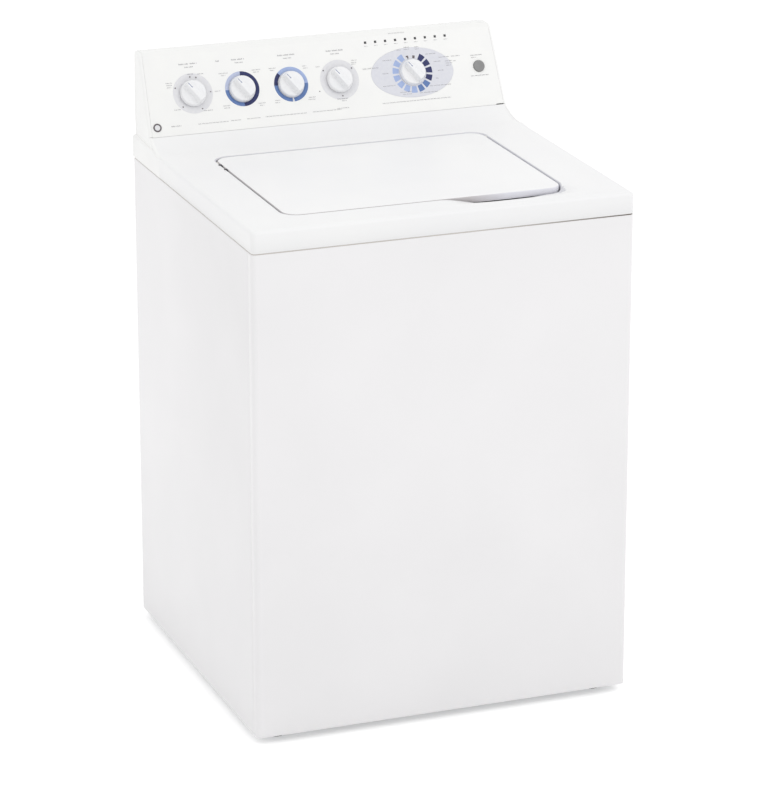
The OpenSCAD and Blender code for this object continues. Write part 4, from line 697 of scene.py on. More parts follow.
services = [circle(PORT_HOLE, 32, (-PORT_X + side * PORT_SPACING / 2, port_z)) for side in (-1, 1)]
services += [circle(DRAIN_HOLE, 32, (-DRAIN_X, drain_z)), circle(GLAND_HOLE, 24, (-GLAND_X, port_z))]
back_field = joined(filled(edge_loop, [bead_loops[0], *services]), bead, filled(bead_loops[-1], vents))
wrapper = joined(
    folded(side_path(1), wall_profile), folded(side_path(-1), wall_profile),
    folded(back_path, foot_roll()), folded(back_path, head_roll()), on_back(back_field))
piece("cabinet_wrapper_skin", wrapper, "cabinet", [cabinet_enamel, foot_seam],
      replaces="cabinet_wrapper", gauge=1 * MM, outward=False, bands=lip_shade_band)

# %% [markdown]
# ## The top cover
#
# The cover is the machine's most complex pressing. It slips over the cabinet, rounds over its front and side
# edges, sweeps up behind into the foot of the console, drops away in a scoop for the fingers, and turns down
# into a recess with a ledge round the opening. It could be cut from blocks, but then each soft edge would be
# a fight. Here it is one sheet: rings run from the skirt's lower edge to the lip of the opening, and one
# function gives the height of the deck over every point of the plan.

# %% The height of the deck
RAMP_START = cad_high.y - 168 * MM
ramp_run, ramp_rise = seam[1] - RAMP_START, seam[2] - deck
RAMP_RADIUS = (ramp_run**2 + ramp_rise**2) / (2 * ramp_rise)
SCOOP_DEPTH, SCOOP_FRONT = 15.5 * MM, -304 * MM
SCOOP_LEFT, SCOOP_DEEPEST, SCOOP_SHOULDER, SCOOP_RIGHT = 12 * MM, 118 * MM, 236 * MM, 262 * MM
SCOOP_FADE = 0.42
recess_w, recess_d, recess_r = lid_w + 6 * MM, lid_d + 6 * MM, 30 * MM
recess_front = lid_centre[1] - recess_d / 2


def ease(value, start, end):
    """A smooth step from 0 at `start` to 1 at `end`: half a cosine wave."""
    share = np.clip((value - start) / (end - start), 0, 1)
    return 0.5 - 0.5 * np.cos(math.pi * share)


def deck_at(x, y):
    """Height of the deck: level, then up an arc into the console, less the scoop. The scoop is a product of
    eases. Along the lid's front edge it deepens from the left, rises again slowly and ends quickly at its
    right; across the edge it deepens from the front up to the recess and ends just behind the recess's
    front."""
    run = np.clip(y - RAMP_START, 0, ramp_run)
    ramp = RAMP_RADIUS - np.sqrt(RAMP_RADIUS**2 - run**2)
    rising = 1 - SCOOP_FADE * ease(x, SCOOP_DEEPEST, SCOOP_SHOULDER)
    along = ease(x, SCOOP_LEFT, SCOOP_DEEPEST) * rising * ease(x, SCOOP_RIGHT, SCOOP_SHOULDER)
    up_to_lid = ease(y, SCOOP_FRONT, recess_front - 2 * MM)
    behind_edge = ease(y, recess_front + 34 * MM, recess_front + 10 * MM)
    return deck + ramp - SCOOP_DEPTH * along * (up_to_lid * behind_edge)


# %% Limits of the console's ends
CAP_START = cap_low[1]
CAP_TAPER, CAP_DRAW = 7.5 / 173, 2 / 153


def cap_x(y, z, inset=0.0):
    """How far out the console's end reaches: it draws in towards the back and towards the top."""
    behind, above = np.maximum(y - CAP_START, 0), np.maximum(z - deck, 0)
    return half_w - inset - behind * CAP_TAPER - above * CAP_DRAW


# %% Rings of the cover
EDGE_R, NARROW_R, RIM_R, EDGE_CHANGE = 6 * MM, 1.2 * MM, 2.2 * MM, 30 * MM
CAP_ROOM = 3.2 * MM
SKIRT_FLANGE, SKIRT_ROLL = 12 * MM, 0.8 * MM
skirt_low = deck - 37 * MM
ledge_z, lip_z = deck - 34 * MM, deck - 40 * MM
mouth_w, mouth_d, mouth_r = recess_w - 36 * MM, recess_d - 36 * MM, 17 * MM
CORNER_STEPS, FRONT_STEPS, SIDE_STEPS, RAMP_STEPS, DECK_STEPS = 8, 150, 96, 24, 34


def lid_box(w, d, r):
    """A round-cornered outline about the lid's middle, with counts that match the cover's rings: it starts at
    the rear right corner and runs anticlockwise."""
    parts = []
    for turn, (sx, sy) in enumerate(((1, 1), (-1, 1), (-1, -1), (1, -1))):
        centre = np.array([sx * (w / 2 - r), sy * (d / 2 - r)])
        parts.append(arc(centre, r, 90 * turn, 90 * turn + 90, CORNER_STEPS))
        steps = (FRONT_STEPS, SIDE_STEPS)[turn % 2]
        nx, ny = ((-1, 1), (-1, -1), (1, -1), (1, 1))[turn]
        tangent = np.array(((0, 1), (-1, 0), (0, -1), (1, 0))[turn])
        stop = np.array([nx * (w / 2 - r), ny * (d / 2 - r)]) + r * tangent
        parts.append(parts[-1][-1] + (stop - parts[-1][-1]) * np.linspace(0, 1, steps + 1)[1:-1, None])
    return np.concatenate(parts) + lid_centre[:2]


def outer_loop():
    """The cover's outside from above, its edge radius and the height its wall starts from, point by point.
    The sides step in where the console's ends cover them, and the rear runs along the console's foot."""
    x_rear = cap_x(seam[1], deck, CAP_ROOM)
    ramp_y = np.linspace(seam[1], CAP_START, RAMP_STEPS)
    left_y = np.linspace(CAP_START, front_y + CABINET_CORNER, SIDE_STEPS - RAMP_STEPS + 1)
    rear_x = np.linspace(x_rear, -x_rear, FRONT_STEPS + 1)[1:-1]
    corner = CABINET_CORNER
    front_x = np.linspace(-half_w + corner, half_w - corner, FRONT_STEPS + 1)[1:-1]
    side = np.concatenate([
        np.column_stack([-cap_x(ramp_y, deck, CAP_ROOM), ramp_y]),
        np.column_stack([np.full(len(left_y), -half_w), left_y])])[1:-1]
    loop = np.concatenate([
        np.tile([[x_rear, seam[1]]], (CORNER_STEPS + 1, 1)),
        np.column_stack([rear_x, np.full(len(rear_x), seam[1])]),
        np.tile([[-x_rear, seam[1]]], (CORNER_STEPS + 1, 1)), side,
        arc((-half_w + corner, front_y + corner), corner, 180, 270, CORNER_STEPS),
        np.column_stack([front_x, np.full(len(front_x), front_y)]),
        arc((half_w - corner, front_y + corner), corner, -90, 0, CORNER_STEPS), (side * [-1, 1])[::-1]])
    soft = NARROW_R + (EDGE_R - NARROW_R) * ease(loop[:, 1], CAP_START, CAP_START - EDGE_CHANGE)
    rear = loop[:, 1] > seam[1] - 1e-6
    inward = np.zeros_like(loop)
    inward[:, 0] = -np.sign(loop[:, 0])
    inward[rear] = [0, -1]
    front = loop[:, 1] < front_y + corner - 1e-9
    centre = np.column_stack([np.clip(loop[:, 0], -half_w + corner, half_w - corner),
                              np.full(len(loop), front_y + corner)])
    inward[front] = (centre - loop)[front] / corner
    return loop, inward, soft, np.where(rear, deck, skirt_low)


cover_loop, cover_inward, cover_soft, cover_foot = outer_loop()
print("points round the cover:", len(cover_loop), "and round the recess:",
      len(lid_box(recess_w, recess_d, recess_r)))


def cover_rings():
    """Every ring of the cover, from the skirt's lower edge up, across the deck and down into the opening."""
    def at(xy, z):
        return np.column_stack([xy, np.broadcast_to(z, len(xy))])
    top = deck_at(*cover_loop.T)
    # The rear has no skirt here, and so no flange
    flange = np.where(cover_foot < deck - MM, SKIRT_FLANGE, 0.0)[:, None]
    rings = [at(cover_loop + cover_inward * flange, cover_foot),
             at(cover_loop + cover_inward * SKIRT_ROLL, cover_foot), at(cover_loop, cover_foot + SKIRT_ROLL)]
    for a in np.linspace(0, math.pi / 2, 6):
        rings.append(at(cover_loop + cover_inward * (cover_soft * (1 - math.cos(a)))[:, None],
                        top - cover_soft * (1 - math.sin(a))))
    start = rings[-1][:, :2]
    rim = lid_box(recess_w + 2 * RIM_R, recess_d + 2 * RIM_R, recess_r + RIM_R)
    for share in np.linspace(0, 1, DECK_STEPS + 1)[1:]:
        xy = start + (rim - start) * share
        rings.append(at(xy, deck_at(*xy.T)))
    rim_top = deck_at(*rim.T)
    for a in np.linspace(0, math.pi / 2, 5)[1:]:
        grow = RIM_R * (1 - math.sin(a))
        rings.append(at(lid_box(recess_w + 2 * grow, recess_d + 2 * grow, recess_r + grow),
                        rim_top - RIM_R * (1 - math.cos(a))))
    rings.append(at(lid_box(recess_w, recess_d, recess_r), ledge_z + 1.5 * MM))
    rings += [at(lid_box(recess_w - 2 * g, recess_d - 2 * g, recess_r - g), ledge_z + h)
              for g, h in ((0.4 * MM, 0.5 * MM), (1.5 * MM, 0.0))]
    rings += [at(lid_box(mouth_w + 2 * g, mouth_d + 2 * g, mouth_r + g), ledge_z - h)
              for g, h in ((1.6 * MM, 0.0), (0.5 * MM, 0.4 * MM), (0.0, 1.6 * MM))]
    rings.append(at(lid_box(mouth_w, mouth_d, mouth_r), lip_z))
    return np.stack(rings, 1)


def cover_back():
    """The shelf under the console and the skirt behind it: two edges joined across the machine."""
    rows = [(seam[1], seam[2] - NARROW_R), (seam[1], deck), (cabinet_back - 1.5 * MM, deck),
            (cabinet_back, deck - 1.5 * MM), (cabinet_back, skirt_low)]
    x = [cap_x(y, deck, CAP_ROOM) for y, _ in rows]
    edge = np.array([[s, y, z] for s, (y, z) in zip(x, rows)])
    shelf = sheet(np.stack([edge, edge * [-1, 1, 1]], 0))
    drop = np.array([[[s, y, z], [s, y, skirt_low]] for s, (y, z) in zip(x[1:-1], rows[1:-1])])
    return joined(shelf, sheet(drop * [-1, 1, 1]), turned_over(sheet(drop)))


def gap_shade_band(middles):
    """The wall of the recess beside the lid, which is always in shade, takes the painted gap shade."""
    near = np.abs(middles[:, :2] - lid_centre[:2])
    beside = (near < np.array([recess_w, recess_d]) / 2 + 0.7 * RIM_R).all(1)
    return (beside & (middles[:, 2] > ledge_z + 2 * MM) & (middles[:, 2] < deck)).astype(int)


piece("top_cover_skin", joined(sheet(cover_rings(), close_u=True), cover_back()), "cabinet",
      [cover_enamel, gap_shade], replaces="top_cover", gauge=1 * MM, outward=False, crease=50, bands=gap_shade_band)

# %% [markdown]
# ## The lid
#
# The lid is a shallow pan with a folded edge and a hardly visible crown. Its liner is a second pan inside it,
# with a pressed field that shows when the lid is up. Both are rings from the edge inward, like the cover.

# %% Lid and liner
LID_R, LID_EDGE_R, LID_CROWN, CROWN_REACH = 27 * MM, 2.4 * MM, 0.35 * MM, 150 * MM
lid_base = lid_low[2]


def loops_to_middle(rings, centre):
    """Closed rings joined from the outside in and finished by one point in the middle."""
    rings = list(rings)
    middle = np.tile([[centre[0], centre[1], rings[-1][0, 2]]], (len(rings[-1]), 1))
    return sheet(np.stack([*rings, middle], 1), close_u=True)


def lid_ring(inset, z, least=2 * MM):
    """The lid's outline moved in by an inset, at a height, with no corner tighter than `least`."""
    loop = round_box(lid_w - 2 * inset, lid_d - 2 * inset, max(LID_R - inset, least), lid_centre[:2],
                     corner=12)
    return np.column_stack([loop, np.full(len(loop), z)])


def lid_shape():
    """The lid's rings: in under the edge, up its side, round the edge, and over a crown that falls off as the
    square of the distance from its flat middle."""
    top = lid_high[2] - LID_CROWN
    rings = [lid_ring(0.9 * MM, lid_base), lid_ring(0.3 * MM, lid_base + 0.2 * MM),
             lid_ring(0, lid_base + 0.8 * MM)]
    for a in np.linspace(0, math.pi / 2, 7):
        rings.append(lid_ring(LID_EDGE_R * (1 - math.cos(a)), top - LID_EDGE_R * (1 - math.sin(a))))
    for share in np.linspace(0, 1, 9)[1:]:
        rings.append(lid_ring(LID_EDGE_R + CROWN_REACH * share, top + LID_CROWN * (1 - (1 - share) ** 2)))
    return loops_to_middle(rings, lid_centre)


def lid_shade_band(middles):
    """The rolled edge, all but the last fifth of its height, takes the painted shade of the gap round the lid.
    """
    return (middles[:, 2] < lid_high[2] - LID_CROWN - 0.2 * LID_EDGE_R).astype(int)


piece("lid_skin", lid_shape(), "lid", [lid_enamel, lid_edge], replaces="lid", gauge=0.9 * MM,
      outward=False, bands=lid_shade_band)

FIELD_STEP, FIELD_RISE = 30 * MM, 3.0 * MM


def liner_shape():
    """The liner's rings seen from below: a flat margin, a sloping step up into the lid, and a flat field."""
    places = [(1.1 * MM, 2 * MM), (1.1 * MM, 0.8 * MM), (1.9 * MM, 0.0)]
    places += [(FIELD_STEP + 8 * MM * t, FIELD_RISE * ease(t, 0, 1)) for t in np.linspace(0, 1, 7)]
    places += [(CROWN_REACH, FIELD_RISE)]
    rings = [lid_ring(inset, lid_base + rise, 6 * MM) for inset, rise in places]
    return turned_over(loops_to_middle(rings, lid_centre))


piece("lid_liner_skin", liner_shape(), "lid", liner_enamel, replaces="lid_liner",
      gauge=0.8 * MM, outward=False)

# %% [markdown]
# ## The console
#
# From the side, the console is one line: up the ramp, back along the sloping face, over a soft brow, across
# the top and down the back. The moulded face, the rear cover and both end caps follow it, so it is worked out
# once. The normals of the line point out of the console, and the face's edges are softened by a bevel at the
# end.

# %% The console's side line
BROW_R, CROWN_R, FACE_WALL, END_ROOM = 12 * MM, 8 * MM, 2.5 * MM, 6.2 * MM
face_lean = (height - seam[2]) * math.tan(tilt)
brow_turn = math.degrees(math.pi / 2 - tilt)
brow_c = np.array([seam[1] + face_lean + BROW_R * math.tan(math.radians(brow_turn) / 2), height - BROW_R])
crown_c = np.array([cad_high.y - CROWN_R, height - CROWN_R])
back_lean = math.degrees(math.atan2(cad_high.y - cabinet_back, height - deck))
brow_arc = arc(brow_c, BROW_R, 90 + brow_turn, 90, 10)
crown_arc = arc(crown_c, CROWN_R, 90, -back_lean, 10)
face_len = float(np.linalg.norm(brow_arc[0] - seam[1:]))
back_foot = np.array([cabinet_back + 1.1 * MM, deck])
print("the face is", round(face_len, 4), "long and the back leans", round(back_lean, 1), "degrees")


def outward_of(path):
    """Unit normals of an open path, on its left: the path runs up the face and down the back, so this is
    outward."""
    along = np.gradient(path, axis=0)
    along /= np.linalg.norm(along, axis=1, keepdims=True)
    return np.column_stack([-along[:, 1], along[:, 0]])


def up_face(*ups):
    """Points of the side line at these distances up the face."""
    return on_face(0.0, np.array(ups))[:, 1:]


def across(path, room=END_ROOM):
    """A path of the side line carried from the right end of the console to the left."""
    x = cap_x(path[:, 0], path[:, 1], room)
    right, left = np.column_stack([x, path]), np.column_stack([-x, path])
    return sheet(np.stack([right, left], 1))


# %% [markdown]
# The face is flat between its foot and the brow, and it is full of holes: five dials, the start button and
# nine lamps. As on the cabinet's back, the flat part is one filled polygon. A narrow strip of the same plane
# runs along its top, so that the shading of the brow doesn't reach into the long triangles. At the right end
# its foot is cut up a little, where the seam under it opens.

# %% The face
PLATE_A, PLATE_B = 79 * MM, 46 * MM
RING_R = {"load_dial": 36.5 * MM, "rinse_dial": 31.8 * MM, "temperature_dial": 31.8 * MM,
          "option_dial": 36.5 * MM}
START_X, START_R = half_w - 45 * MM, 10.5 * MM
LAMP_UP, LAMP_SIDE, LAMP_PITCH, LAMP_COUNT = 136 * MM, 4 * MM, 19.2 * MM, 9
cycle_x, cycle_up = dials["cycle_dial"]
lamp_mid = cycle_x - 3.5 * MM
lamp_xs = lamp_mid + (np.arange(LAMP_COUNT) - (LAMP_COUNT - 1) / 2) * LAMP_PITCH
STRIP = 1.0 * MM
SLOT_W, SLOT_H = 15 * MM, 1.6 * MM


def ellipse(a, b, centre, count=72):
    """Points of an ellipse, anticlockwise."""
    return np.asarray(centre) + circle(1.0, count) * [a, b]


def face_end(up):
    """Half the width of the face at a distance up it."""
    y, z = up_face(up)[0]
    return float(cap_x(y, z, END_ROOM))


top_up = face_len - STRIP
face_holes = [circle(r, 60, dials[name]) for name, r in RING_R.items()]
face_holes.append(ellipse(PLATE_A, PLATE_B, (cycle_x, cycle_up)))
face_holes.append(circle(START_R + 0.3 * MM, 40, (START_X, cycle_up)))
face_holes += [round_box(LAMP_SIDE + 0.3 * MM, LAMP_SIDE + 0.3 * MM, 0.6 * MM, (x, LAMP_UP), corner=3)
               for x in lamp_xs]
slot_x = face_end(0) - SLOT_W
low_outline = [[-face_end(0), 0], [slot_x, 0], [slot_x + 1 * MM, SLOT_H], [face_end(SLOT_H), SLOT_H]]
face_outline = np.array([*low_outline, [face_end(top_up), top_up], [-face_end(top_up), top_up]])
flat_face = moved(filled(face_outline, face_holes), lambda p: on_face(p[:, 0], p[:, 1], p[:, 2]))
brow_path = np.concatenate([up_face(top_up), brow_arc, [[crown_c[0] - 0.1 * MM, height]]])
piece("console_face_moulding", joined(flat_face, across(brow_path)), "cabinet", face_paint,
      replaces="console_face", gauge=FACE_WALL, bevel=0.3 * MM, outward=False, crease=30)

# %% The rear cover
TAB, REAR_WALL, REAR_ROOM = 24 * MM, 1 * MM, 6.4 * MM
crown_end = crown_arc[-1]
back_down = (back_foot - crown_end) / np.linalg.norm(back_foot - crown_end)
back_len = float(np.linalg.norm(back_foot - crown_end))


def on_console_back(x, down):
    """Points on the console's back: x across and `down` from the crown."""
    x, down = np.broadcast_arrays(x, down)
    return np.concatenate([x[..., None], crown_end + down[..., None] * back_down], -1)


def back_end(down):
    """Half the width of the rear cover at a distance down from the crown."""
    _, y, z = on_console_back(0.0, down)
    return float(cap_x(y, z, REAR_ROOM))


REAR_VENT_X = 220 * MM
rear_vents = [round_box(VENT_W, VENT_H, VENT_H * 0.49, (-REAR_VENT_X, back_len - 40 * MM - i * 16 * MM),
                        corner=5)
              for i in range(5)]
rear_outline = np.array([[-back_end(STRIP), STRIP], [back_end(STRIP), STRIP], [back_end(back_len), back_len],
                         [-back_end(back_len), back_len]])
rear_flat = moved(filled(rear_outline, rear_vents), lambda p: on_console_back(-p[:, 0], p[:, 1]))
crown_path = np.concatenate([[[crown_c[0] + 0.1 * MM, height]], crown_arc[1:],
                             [on_console_back(0.0, STRIP)[1:]]])
tab_path = np.array([back_foot, [back_foot[0], deck - TAB]])
tab_x = back_end(back_len)
tab = sheet(np.array([[[tab_x, *p] for p in tab_path], [[-tab_x, *p] for p in tab_path]]).transpose(1, 0, 2))
rear_cover = joined(across(crown_path, REAR_ROOM), turned_over(rear_flat), tab)
piece("console_rear_skin", rear_cover, "cabinet", cabinet_enamel,
      replaces="console_rear_cover", gauge=REAR_WALL, outward=False, crease=30)

# %% [markdown]
# ## The end caps
#
# Each end of the console is closed by a moulded cap with a generous soft edge, which shows in the outline of
# the machine. The cap's shape is a sheet over two numbers: one runs along the side line from the foot of the
# ramp to the back, the other runs from the face round the edge, down the flat side and over a small ledge to
# the skirt. Where the line passes the foot of the face, a groove carries the seam round to the side. A small
# plate at the back closes the gap between the cap and the shelf behind the console.

# %% Cap surface
CAP_EDGE, CAP_LIFT, CAP_GROOVE = 5.0 * MM, 0.8 * MM, 2.2 * MM
LEDGE_TOP, CAP_INSET = deck + 3 * MM, 0.4 * MM
RAMP_POINTS, BACK_POINTS = 26, 12
cap_back_y = back_foot[0]


def cap_line():
    """The side line with its outward normals and the depth of the groove, point by point."""
    ramp_y = np.linspace(CAP_START, seam[1] - 1.2 * MM, RAMP_POINTS)
    lift = CAP_LIFT * (0.1 + 0.9 * ease(ramp_y, CAP_START, CAP_START + 25 * MM))
    ramp = np.column_stack([ramp_y, deck_at(0 * ramp_y - 0.3, ramp_y) + lift])
    face = up_face(*np.array([0.2, 0.21, 1.5, 1.51, 4]) * MM, *np.linspace(12 * MM, face_len, 12))
    down = on_console_back(0.0, np.linspace(2 * MM, back_len, BACK_POINTS))[:, 1:]
    path = np.concatenate([ramp, face, brow_arc[1:], crown_arc, down])
    normals = outward_of(path)
    normals[:RAMP_POINTS] = outward_of(ramp)
    normals[RAMP_POINTS:RAMP_POINTS + len(face)] = face_normal[1:] / np.linalg.norm(face_normal[1:])
    depth = np.zeros(len(path))
    depth[RAMP_POINTS + 1:RAMP_POINTS + 3] = CAP_GROOVE
    return path, normals, depth


def cap_shape(side):
    """The cap as a grid along the side line and across it."""
    path, normals, groove = cap_line()

    def row(inset, drop):
        """One row of the grid: the side line moved in from the end and down along its normals."""
        yz = path - normals * np.maximum(groove, drop)[:, None]
        return np.column_stack([cap_x(path[:, 0], path[:, 1], inset), yz])

    inner = END_ROOM - CAP_INSET - 0.2 * MM
    across_rows = [row(inner, 2.4 * MM), row(inner, 0.3 * MM), row(inner - 0.25 * MM, 0.0)]
    for a in np.linspace(0, math.pi / 2, 8):
        across_rows.append(row(CAP_EDGE * (1 - math.sin(a)), CAP_EDGE * (1 - math.cos(a))))
    edge = across_rows[-1]
    share = (np.clip(edge[:, 1], CAP_START, cad_high.y) - CAP_START) / (cad_high.y - CAP_START)
    base_y = CAP_START + share * (cap_back_y - CAP_START)
    base_y[-BACK_POINTS:] = cap_back_y
    waist_z = np.minimum(LEDGE_TOP, edge[:, 2] - 0.5 * MM)
    for t in (0.35, 0.7, 1.0):
        y, z = edge[:, 1] + (base_y - edge[:, 1]) * t, edge[:, 2] + (waist_z - edge[:, 2]) * t
        across_rows.append(np.column_stack([cap_x(y, z), y, z]))
    width_here = half_w - cap_x(base_y, waist_z)
    for a in np.linspace(0, math.pi / 2, 5):
        x = half_w - width_here * (1 - math.sin(a))
        z = waist_z - width_here * (1 - math.cos(a))
        across_rows.append(np.column_stack([x, base_y, z]))
    across_rows.append(np.column_stack([np.full(len(path), half_w), base_y, np.full(len(path), skirt_low)]))
    grid = np.stack(across_rows, 1)
    grid[..., 0] -= CAP_INSET
    over = grid[-1, -6:-1]
    over = np.concatenate([over[:1] - [CAP_ROOM, 0, 0], over])
    closing = np.stack([over, np.column_stack([over[:, :2], np.full(len(over), skirt_low)])], 0)
    shape = joined(sheet(grid * [side, 1, 1]), sheet(closing * [side, 1, 1]))
    return turned_over(shape) if side > 0 else shape


for side, name in ((-1, "end_cap_left"), (1, "end_cap_right")):
    piece(name + "_moulding", cap_shape(side), "cabinet", cap_plastic, replaces=name,
          gauge=1 * MM, outward=False, crease=50)

# %% [markdown]
# ## Dials
#
# Round each knob the face has a shallow dish, printed with bands that show the settings. The dish is a lathe
# shape, turned about the knob's own axis and laid on the slope. Its steps round the axis are three degrees,
# so each printed band can begin and end on a step, and a face takes its ink from the angle and the radius of
# its middle. That keeps the print as sharp as its edge, with no image.

# %% Shapes on the face
def laid(shape, x, up, out=0.0):
    """A shape drawn upright about its own middle, laid on the console's face: its x runs across, its y up the
    slope and its z out of the face."""
    return moved(shape, lambda p: on_face(x + p[:, 0], up + p[:, 1], out + p[:, 2]))


DIAL_STEPS = 120
STEM_HOLE, DISH_DEPTH = 4.4 * MM, 1.3 * MM


def dish(radius):
    """A dish: a rounded rim, a slope of a third of the radius and a floor, down to the hole for the stem."""
    profile = [(radius, -0.6 * MM), (radius, -0.15 * MM), (radius - 0.15 * MM, 0.0), (radius - 0.9 * MM, 0.0)]
    slope = np.linspace(0, 1, 7)[1:]
    profile += [(radius - 0.9 * MM - (radius * 0.3) * t, -DISH_DEPTH * ease(t, 0, 1)) for t in slope]
    profile += [(25 * MM, -DISH_DEPTH), (20 * MM, -DISH_DEPTH), (STEM_HOLE, -DISH_DEPTH)]
    return turned(np.array(profile), DIAL_STEPS)


def flat_ring(radii, out=0.0):
    """A flat ring with a circle at each radius, which the printed bands follow."""
    return turned(np.array([(r, out) for r in radii]), DIAL_STEPS)


PLATE_LIFT = 0.12 * MM
CYCLE_RADII = np.array([41, 38, 34.5, 31.5, 29, 26, 25, 12, 4.4]) * MM
plate_rim = circle(CYCLE_RADII[0], DIAL_STEPS)
plate_edge, plate_top = (ellipse(PLATE_A - gap, PLATE_B - gap, (0, 0), DIAL_STEPS)
                         for gap in (0.1 * MM, 0.15 * MM))
plate_loops = [plate_top * (1 - t) + plate_rim * t for t in (0, 0.5, 1)]
cycle_plate = ring_between([plate_edge, *plate_loops], [-0.5 * MM, PLATE_LIFT, PLATE_LIFT, PLATE_LIFT])
cycle_dial = joined(cycle_plate, flat_ring(CYCLE_RADII, PLATE_LIFT))
print("steps round a dial:", DIAL_STEPS)

# %% Which ink is where
ink_order = ["pale", "haze", "sky", "steel", "navy", "brown", "plate"]
ink_number = {name: i for i, name in enumerate(ink_order)}
BLOCK_PITCH, BLOCK_START, BLOCK_HALF = 24, -9, 9
BLOCK_INKS = ["brown"] * 2 + ["navy"] * 4 + ["steel"] * 2 + ["sky"] * 7
RINSE_BANDS = [(0, 180, "navy"), (180, 270, "steel"), (270, 360, "haze")]
TEMPERATURE_BANDS = [(-45, 90, "sky"), (90, 177, "steel"), (183, 270, "steel"), (270, 315, "navy")]
BAND_IN = 25.2 * MM


def printed(middles):
    """The number of the ink for each face, from where its middle lies round the nearest dial. Angles run
    clockwise from the top of the dial, in degrees."""
    from_seam = middles - seam
    x, up = from_seam[:, 0], from_seam @ face_up
    chosen = np.full(len(middles), ink_number["pale"])
    for name, bands in (("rinse_dial", RINSE_BANDS), ("temperature_dial", TEMPERATURE_BANDS)):
        dx, du = x - dials[name][0], up - dials[name][1]
        radius, angle = np.hypot(dx, du), np.degrees(np.arctan2(dx, du))
        for start, stop, ink_name in bands:
            inside = (radius < 35 * MM) & (radius > BAND_IN) & ((angle - start) % 360 < stop - start)
            chosen[inside] = ink_number[ink_name]
    dx, du = x - cycle_x, up - cycle_up
    radius, angle = np.hypot(dx, du), np.degrees(np.arctan2(dx, du))
    chosen[(np.abs(dx) < 80 * MM) & (dx > -85 * MM)
           & (np.hypot(dx / PLATE_A, du / PLATE_B) < 1.01)] = ink_number["plate"]
    for k, ink_name in enumerate(BLOCK_INKS):
        low, high = (26, 31.5) if ink_name == "brown" else (26, 38)
        turn = (angle - (BLOCK_START + BLOCK_PITCH * k) + BLOCK_HALF) % 360
        half = BLOCK_HALF / 2 if ink_name == "brown" else BLOCK_HALF
        inside = (radius > low * MM) & (radius < high * MM) & (np.abs(turn - BLOCK_HALF) < half)
        chosen[inside] = ink_number[ink_name]
    return chosen


dishes = [laid(dish(r), *dials[name]) for name, r in RING_R.items()]
piece("dial_prints", joined(*dishes, laid(cycle_dial, cycle_x, cycle_up)), "cabinet",
      [inks[name] for name in ink_order], replaces="dial_overlays", outward=False, bands=printed, crease=50)

# %% [markdown]
# ## Knobs
#
# A knob is a low round base with a grip across it. Joining a bar to a disc leaves a hard corner that no
# moulding has, so the top is a height over the plane instead: a shallow dome, plus the grip's height times an
# ease across the grip and an ease along it. The grid is polar, with more rings near the rim.

# %% Knob surface
KNOB_R, KNOB_LIFT, KNOB_BASE, KNOB_TOP, GRIP_TURN = 24 * MM, 1.2 * MM, 8.2 * MM, 20.6 * MM, math.radians(128)
KNOB_STEPS, STEM_R, STEM_DEPTH = 144, 4.0 * MM, 18 * MM
GRIP_HALF, GRIP_SLOPE, GRIP_REACH = 4.0 * MM, 4.2 * MM, 22.6 * MM


def knob_shape():
    """The knob about its own axis: underside, side and rounded rim, then the top as a height over the
    plane."""
    a = np.arange(KNOB_STEPS) * 2 * math.pi / KNOB_STEPS
    profile = [(0.0, -STEM_DEPTH), (STEM_R, -STEM_DEPTH), (STEM_R, KNOB_LIFT + 1 * MM),
               (KNOB_R - 3 * MM, KNOB_LIFT + 1 * MM), (KNOB_R - 2.2 * MM, KNOB_LIFT),
               (KNOB_R - 0.4 * MM, KNOB_LIFT), (KNOB_R, KNOB_LIFT + 0.4 * MM)]
    rim = 1.6 * MM
    rounded = arc((KNOB_R - 1.2 * MM - rim, KNOB_BASE - rim - 0.6 * MM), rim, 4, 80, 6)
    profile += [(r, z) for r, z in rounded]
    radii = np.concatenate([np.linspace(rounded[-1][0] - 0.3 * MM, 1.0 * MM, 40), [0.0]])
    profile_r = np.array([r for r, _ in profile] + list(radii))
    x, y = profile_r * np.cos(a)[:, None], profile_r * np.sin(a)[:, None]
    dome = KNOB_BASE - 0.6 * MM * (profile_r / KNOB_R) ** 2
    along, beside = x, np.abs(y)
    taper = 1 + 0.25 * np.clip(-along / GRIP_REACH, -1, 1)
    grip = ease(beside, (GRIP_HALF + GRIP_SLOPE) * taper, GRIP_HALF * taper)
    ends = ease(np.abs(along), GRIP_REACH, GRIP_REACH - 4.5 * MM)
    saddle = (KNOB_TOP - KNOB_BASE) * (0.93 + 0.07 * (along / GRIP_REACH) ** 2)
    z = dome + saddle * grip * ends
    z[:, :len(profile)] = np.array([h for _, h in profile])
    turned_x = x * math.cos(GRIP_TURN) - y * math.sin(GRIP_TURN)
    turned_y = x * math.sin(GRIP_TURN) + y * math.cos(GRIP_TURN)
    return sheet(np.stack([turned_x, turned_y, z], -1), close_u=True)


def knob_mark(name):
    """The pointer's line: the faces on the nose of the grip, within a narrow wedge."""
    x, up = dials[name]

    def bands(middles):
        from_seam = middles - seam
        dx, du, out = from_seam[:, 0] - x, from_seam @ face_up - up, from_seam @ face_normal
        radius, angle = np.hypot(dx, du), np.arctan2(du, dx)
        turn = (angle - GRIP_TURN + math.pi) % (2 * math.pi) - math.pi
        return ((np.abs(turn * radius) < 0.75 * MM) & (radius > 8 * MM) & (radius < 18.5 * MM)
                & (out > KNOB_BASE)).astype(int)
    return bands


for name, (x, up) in dials.items():
    knob = name.replace("_dial", "_knob")
    piece(knob + "_moulding", laid(knob_shape(), x, up), knob, [knob_plastic, knob_line],
          replaces=knob, outward=False, bands=knob_mark(name), crease=40)

